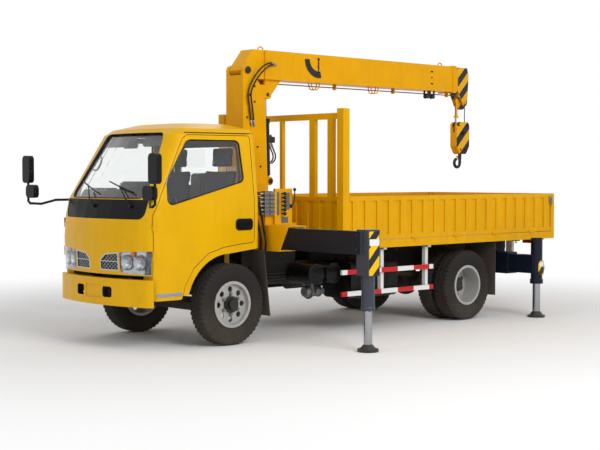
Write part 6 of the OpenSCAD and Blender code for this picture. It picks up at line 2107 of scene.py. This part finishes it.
@dataclass
class Controls:
    """Blank strips, throttle levers and valve caps of the control stations."""

    truck: Truck
    face_y: float = 0.6205
    strips: tuple[tuple[float, float, Pair], ...] = (
        (-0.745, 1.327, (0.03, 0.23)), (-0.872, 1.35, (0.06, 0.17)), (-0.835, 1.165, (0.09, 0.06)),
    )
    throttle: Pair = (-0.916, 1.3)
    valve_x: float = -0.572
    valve_y: Pair = (0.595, 0.62)
    valve_z: float = 1.227
    step: float = 0.04
    levers: int = 6

    def build(self) -> None:
        """Builds the fittings on both sides."""
        for side, sign in sides():
            self._panel(side, sign)
            self._caps(side, sign)

    def _panel(self, side: str, sign: int) -> None:
        """Adds blank strips and a throttle lever.

        Args:
            side: Name of the side.
            sign: Sign of the side.
        """
        truck = self.truck
        strips = Shape()
        for x, z, (wide, high) in self.strips:
            strips.side_plate((wide, high), 0.004, truck.at(x, sign * self.face_y, z), sign, 0.003)
            marks = max(2, int(high / self.step))
            for k in range(marks):
                mark = z - high / 2 + (k + 0.5) * high / marks
                middle = truck.at(x, sign * (self.face_y + 0.003), mark)
                strips.side_plate((wide * 0.7, 0.012), 0.002, middle, sign, 0.0015)
        truck.add(strips, f"{side}_panel_strips", PANEL_GREY)
        lever = Shape()
        foot = truck.at(self.throttle[0], sign * self.face_y, self.throttle[1])
        bends = ((-0.006, 0.03, 0.02), (-0.012, 0.046, 0.09), (-0.012, 0.046, 0.15))
        path = [foot, *(foot + Vector((x, sign * y, z)) for x, y, z in bends)]
        lever.rod(path, 0.006)
        knob = [(-0.002, 0.0), (0.002, 0.011), (0.016, 0.017), (0.03, 0.013), (0.036, 0.0)]
        lever.lathe(knob, path[-1], UP, 16)
        lever.lathe([(0.0, 0.02), (0.006, 0.02), (0.01, 0.012), (0.01, 0)], foot, LEFT * sign, 16)
        truck.add(lever, f"{side}_throttle_lever", KNOB_BLACK)

    def _caps(self, side: str, sign: int) -> None:
        """Adds spring caps and screws to the valve sections.

        Args:
            side: Name of the side.
            sign: Sign of the side.
        """
        truck = self.truck
        shape = Shape()
        spring = [(0, 0.012), (0.03, 0.012), (0.034, 0.009), (0.046, 0.009), (0.046, 0)]
        plug = [(0, 0.01), (0.016, 0.01), (0.016, 0.006), (0.026, 0.006), (0.026, 0)]
        inner, outer = (sign * y for y in self.valve_y)
        for k in range(self.levers):
            z = self.valve_z + self.step * k
            shape.lathe(spring, truck.at(self.valve_x, inner, z), AHEAD, 14)
            for x in (-0.68, -0.6):
                shape.nut(truck.at(x, outer, z), LEFT * sign, 0.013, 0.006)
            shape.lathe(plug, truck.at(-0.64, outer, z), LEFT * sign, 12)
        truck.add(shape, f"{side}_valve_caps", ZINC)


@dataclass
class OutriggerFittings:
    """Striped plates, white fields, lamps, glands and bolts of the outriggers."""

    truck: Truck
    leg: Pair = (-0.624, 2.055)
    plate: Pair = (0.132, 0.4)
    plate_z: float = 0.9
    front_gland: Line = ((0.382, 0.041), (0.376, 0.056), (0.376, 0.066), (0.41, 0.066), (0.416, 0.0625))
    gland_bolts: Pair = (0.055, 0.376)
    left_bolts: Pair = (-0.524, 1.93)
    right_bolts: Pair = (-0.629, 1.82)
    bolt_z: Pair = (0.93, 1.06)
    rear_leg: Pair = (-4.098, 1.284)
    rear_r: float = 0.066
    rear_plate: Pair = (0.1, 0.16)
    rear_z: float = 0.56
    rear_gland: Line = ((0.388, 0.045), (0.382, 0.06), (0.382, 0.074), (0.43, 0.074), (0.437, 0.0665))

    def build(self) -> None:
        """Builds the fittings of every leg."""
        for side, sign in sides():
            self._front(side, sign)
            self._rear(side, sign)

    def _axis(self, jack: str) -> Vector:
        """Gives the point on the ground under a jack's axis."""
        middle = self.truck.middle(jack)
        return Vector((middle.x, middle.y, 0.0))

    def _front(self, side: str, sign: int) -> None:
        """Adds a striped plate with a white field, bolts and a gland to a front leg.

        Args:
            side: Name of the side.
            sign: Sign of the side.
        """
        truck = self.truck
        body = f"front_{side}_beam"
        x, y = self.leg
        middle = truck.at(x, sign * y, self.plate_z)
        stripes, white, gland, bolts = Shape(), Shape(), Shape(), Shape()
        stripes.side_plate(self.plate, 0.006, middle, sign, 0.003)
        truck.add(stripes, f"front_{side}_leg_plate", LEG_HAZARD, body)
        white.side_plate((self.plate[0] - 0.006, 0.06), 0.004, middle + Vector((0, 0, 0.1)), sign, 0.0045)
        truck.add(white, f"front_{side}_leg_field", WHITE_ENAMEL, body)
        axis = self._axis(f"front_{side}_jack")
        gland.lathe(self.front_gland, axis, UP, 32)
        ring, seat = self.gland_bolts
        for angle in (math.tau * k / 6 for k in range(6)):
            place = axis + Vector((ring * math.cos(angle), ring * math.sin(angle), seat))
            gland.nut(place, -UP, 0.012, 0.007)
        truck.add(gland, f"front_{side}_leg_gland", SLATE, body)
        face_x, bolt_y = self.left_bolts if sign > 0 else self.right_bolts
        for z in self.bolt_z:
            bolts.nut(truck.at(face_x, sign * bolt_y, z), AHEAD, 0.024, 0.012)
        truck.add(bolts, f"front_{side}_beam_bolts", HUB_BLACK, body)

    def _rear(self, side: str, sign: int) -> None:
        """Adds a small striped plate, a white lamp and a gland to a rear leg.

        Args:
            side: Name of the side.
            sign: Sign of the side.
        """
        truck = self.truck
        body = f"rear_{side}_beam"
        x, y = self.rear_leg
        out = sign * (y + self.rear_r)
        middle = truck.at(x, out - sign * 0.004, self.rear_z)
        stripes, lamp, gland = Shape(), Shape(), Shape()
        stripes.side_plate(self.rear_plate, 0.006, middle, sign, 0.004)
        truck.add(stripes, f"rear_{side}_leg_plate", LEG_HAZARD, body)
        lamp.side_plate((0.07, 0.05), 0.008, middle + Vector((0, 0, 0.04)), sign, 0.008)
        box_y = out - sign * 0.05
        lamp.block(truck.at(x - 0.12, box_y - 0.02, 0.53), truck.at(x - 0.06, box_y + 0.02, 0.58), 0.006)
        truck.add(lamp, f"rear_{side}_leg_lamp", WHITE_ENAMEL, body)
        gland.lathe(self.rear_gland, self._axis(f"rear_{side}_jack"), UP, 32)
        truck.add(gland, f"rear_{side}_leg_gland", NAVY, body)


@dataclass
class BedFittings:
    """Rope hooks and board latches of the bed."""

    truck: Truck
    nose: float = -1.5
    tail: float = -4.75
    hooks: int = 8
    hook_line: Line = ((0.95, 0.866), (0.95, 0.842), (0.957, 0.83), (0.968, 0.832), (0.971, 0.844))
    latch_x: float = -4.77
    latch_y: float = 0.991
    latch_line: Line = ((0.99, 1.35), (1.004, 1.335), (1.006, 1.29), (1.0, 1.25))

    def build(self) -> None:
        """Builds the fittings."""
        truck = self.truck
        hooks = Shape()
        for _, sign in sides():
            for k in range(self.hooks):
                x = self.nose + (self.tail - self.nose) * (k + 0.5) / self.hooks
                hooks.rod([truck.at(x, sign * y, z) for y, z in self.hook_line], 0.005)
        truck.add(hooks, "rope_hooks", CHASSIS_BLACK)
        x = self.latch_x
        for side, sign in sides():
            latch = Shape()
            face = sign * self.latch_y
            high = truck.at(x + 0.03, face + 0.004, 1.36)
            latch.block(truck.at(x - 0.03, face - 0.004, 1.3), high, 0.003)
            latch.rod([truck.at(x, sign * y, z) for y, z in self.latch_line], 0.008)
            truck.add(latch, f"{side}_board_latches", ZINC, f"{side}_board")


@dataclass
class ChassisFittings:
    """Filler cap, oil pump and pipes along the chassis."""

    truck: Truck
    cap: Line = (
        (0.0, 0.034), (0.03, 0.034), (0.034, 0.046), (0.052, 0.046), (0.056, 0.04), (0.056, 0.0),
    )
    pump_place: Point = (-1.24, 0.47, 0.41)
    pump: Line = (
        (0.0, 0.0), (0.0, 0.05), (0.02, 0.062), (0.05, 0.062), (0.052, 0.08), (0.066, 0.08), (0.068, 0.056),
        (0.19, 0.056), (0.192, 0.064), (0.204, 0.064), (0.21, 0.04), (0.24, 0.036), (0.24, 0.0),
    )
    flange: Pair = (0.066, 0.07)
    ports: Pair = (-1.36, -1.42)
    pipes: int = 3
    pipe_r: float = 0.006

    def build(self) -> None:
        """Builds the fittings."""
        shape = Shape()
        shape.lathe(self.cap, self.truck.at(-1.72, 0.66, 0.7), Vector((0.0, 0.35, 1.0)), 24)
        self.truck.add(shape, "fuel_cap", KNOB_BLACK)
        self._pump()
        self._pipes()

    def _pump(self) -> None:
        """Hangs the crane's oil pump with its flange and ports under the left rail."""
        truck = self.truck
        shape = Shape()
        end = truck.at(*self.pump_place)
        shape.lathe(self.pump, end, -AHEAD, 28)
        shape.block(truck.at(-1.315, 0.40, 0.44), truck.at(-1.285, 0.54, 0.56), 0.006)
        seat, ring = self.flange
        for angle in (math.tau * (k + 0.5) / 6 for k in range(6)):
            place = end + Vector((-seat, ring * math.cos(angle), ring * math.sin(angle)))
            shape.nut(place, -AHEAD, 0.014, 0.008)
        port = [(0.0, 0.022), (0.07, 0.022), (0.072, 0.03), (0.09, 0.03), (0.09, 0)]
        for x in self.ports:
            shape.lathe(port, truck.at(x, *self.pump_place[1:]), LEFT, 16)
        truck.add(shape, "oil_pump", VALVE_ALLOY)

    def _pipes(self) -> None:
        """Clips three rigid pipes along the outside of each rail."""
        truck = self.truck
        shape = Shape()
        for _, sign in sides():
            y = truck.hit("frame_rails", truck.at(-1.2, sign * 0.9, 0.6), (0, -sign, 0))[0].y
            for k in range(self.pipes):
                out = y + sign * (0.011 + 0.002 * k)
                path = []
                for x in (-0.5 - 0.25 * j for j in range(9)):
                    path.append(truck.at(x, out, 0.55 + 0.03 * k + 0.006 * math.sin(x * 3 + k)))
                shape.rod(path, self.pipe_r, steps=3)
            for x in (-0.6 - 0.5 * j for j in range(4)):
                high = truck.at(x + 0.012, y + 0.002 + sign * 0.012, 0.63)
                shape.block(truck.at(x - 0.012, y - 0.002, 0.53), high, 0.002)
        truck.add(shape, "frame_pipes", HUB_BLACK)


@dataclass
class Studio:
    """Floor, light and camera."""

    lens: float = 77.08
    sensor: float = 36.0
    place: Point = (9.68125, 10.09166, 1.6113)
    yaw: float = -2.3218
    pitch: float = -0.0389
    floor_r: float = 60.0
    sky: float = 0.5
    aim: Point = (0.0, 0.0, 1.0)
    floor_fade: Pair = (3.4, 8.0)
    lamps: tuple = (
        ("key", (2.5, 10.5, 7.0), 6.0, 690.0),
        ("front", (11.0, -1.0, 6.5), 6.0, 150.0),
        ("back", (-9.0, -7.0, 7.0), 7.0, 150.0),
    )

    def build(self) -> None:
        """Builds the studio."""
        self._camera()
        self._world()
        self._floor()
        for name, place, size, power in self.lamps:
            data = bpy.data.lights.new(name, "AREA")
            data.size = size
            data.energy = power
            lamp = bpy.data.objects.new(name, data)
            lamp.location = place
            lamp.rotation_euler = (Vector(self.aim) - Vector(place)).to_track_quat("-Z", "Y").to_euler()
            bpy.context.scene.collection.objects.link(lamp)

    def _camera(self) -> None:
        """Places the camera at the photograph's viewing angle."""
        data = bpy.data.cameras.new("view")
        data.lens = self.lens
        data.sensor_width = self.sensor
        data.sensor_fit = "HORIZONTAL"
        data.clip_end = 200.0
        camera = bpy.data.objects.new("view", data)
        level = math.cos(self.pitch)
        way = Vector((math.cos(self.yaw) * level, math.sin(self.yaw) * level, math.sin(self.pitch)))
        camera.location = self.place
        camera.rotation_euler = way.to_track_quat("-Z", "Y").to_euler()
        bpy.context.scene.collection.objects.link(camera)
        bpy.context.scene.camera = camera

    @staticmethod
    def _seen(wiring: Wiring) -> Socket:
        """Tells rays that show a surface itself from rays that light it.

        Args:
            wiring: Wiring of the material or world.

        Returns:
            Socket that is 1 for the rays that show it.
        """
        path = wiring.node("ShaderNodeLightPath", {})
        seen = wiring.math("MAXIMUM", path.outputs["Is Camera Ray"], path.outputs["Is Glossy Ray"])
        return wiring.math("MAXIMUM", seen, path.outputs["Is Transmission Ray"])

    def _world(self) -> None:
        """Lights the scene with a soft white sky."""
        world = bpy.data.worlds.new("studio")
        bpy.context.scene.world = world
        world.use_nodes = True
        wiring = Wiring(world.node_tree)
        back = world.node_tree.nodes["Background"]
        strength = wiring.math("MULTIPLY_ADD", self._seen(wiring), 1.0 - self.sky, self.sky)
        back.inputs["Color"].default_value = (1.0, 1.0, 1.0, 1.0)
        wiring.put(back.inputs["Strength"], strength)

    def _floor(self) -> None:
        """Lays a pale floor that runs out into the background."""
        shape = Shape()
        shape.lathe([(0.0, self.floor_r), (0.0, 0.0)], Vector((0, 0, -0.001)), UP, 64)
        material = bpy.data.materials.new("floor")
        material.use_nodes = True
        wiring = Wiring(material.node_tree)
        shader = material.node_tree.nodes["Principled BSDF"]
        shader.inputs["Base Color"].default_value = (0.95, 0.95, 0.95, 1.0)
        shader.inputs["Roughness"].default_value = 0.9
        place = wiring.node("ShaderNodeTexCoord", {}).outputs["Object"]
        away = wiring.node("ShaderNodeVectorMath", {"Vector": place}, operation="LENGTH").outputs["Value"]
        near, far = self.floor_fade
        inputs = {"Value": away, "From Min": near, "From Max": far}
        fade = wiring.node("ShaderNodeMapRange", inputs, interpolation_type="SMOOTHSTEP")
        white = wiring.node("ShaderNodeEmission", {"Color": (1.0, 1.0, 1.0, 1.0), "Strength": 1.0})
        share = wiring.math("MULTIPLY", fade.outputs["Result"], self._seen(wiring))
        blend = wiring.tree.nodes.new("ShaderNodeMixShader")
        for socket, value in zip(blend.inputs, (share, shader.outputs[0], white.outputs[0])):
            wiring.put(socket, value)
        wiring.put(material.node_tree.nodes["Material Output"].inputs["Surface"], blend.outputs[0])
        shape.piece("floor", material)


def main() -> None:
    """Builds the truck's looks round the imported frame."""
    logging.basicConfig(level=logging.INFO, format="%(name)s: %(message)s")
    for old in list(bpy.data.objects):
        bpy.data.objects.remove(old)
    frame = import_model()
    bpy.context.scene.view_settings.view_transform = "Standard"
    truck = Truck(frame, Paintshop())
    Studio().build()
    NodeDress(truck).build()
    cab = (Tyres, WheelFittings, CabTrim, Cockpit)
    crane = (CraneFittings, Controls, OutriggerFittings, BedFittings, ChassisFittings)
    for part in (*cab, *crane):
        part(truck).build()
        LOG.info("%s done", part.__name__)


if __name__ == "__main__":
    main()
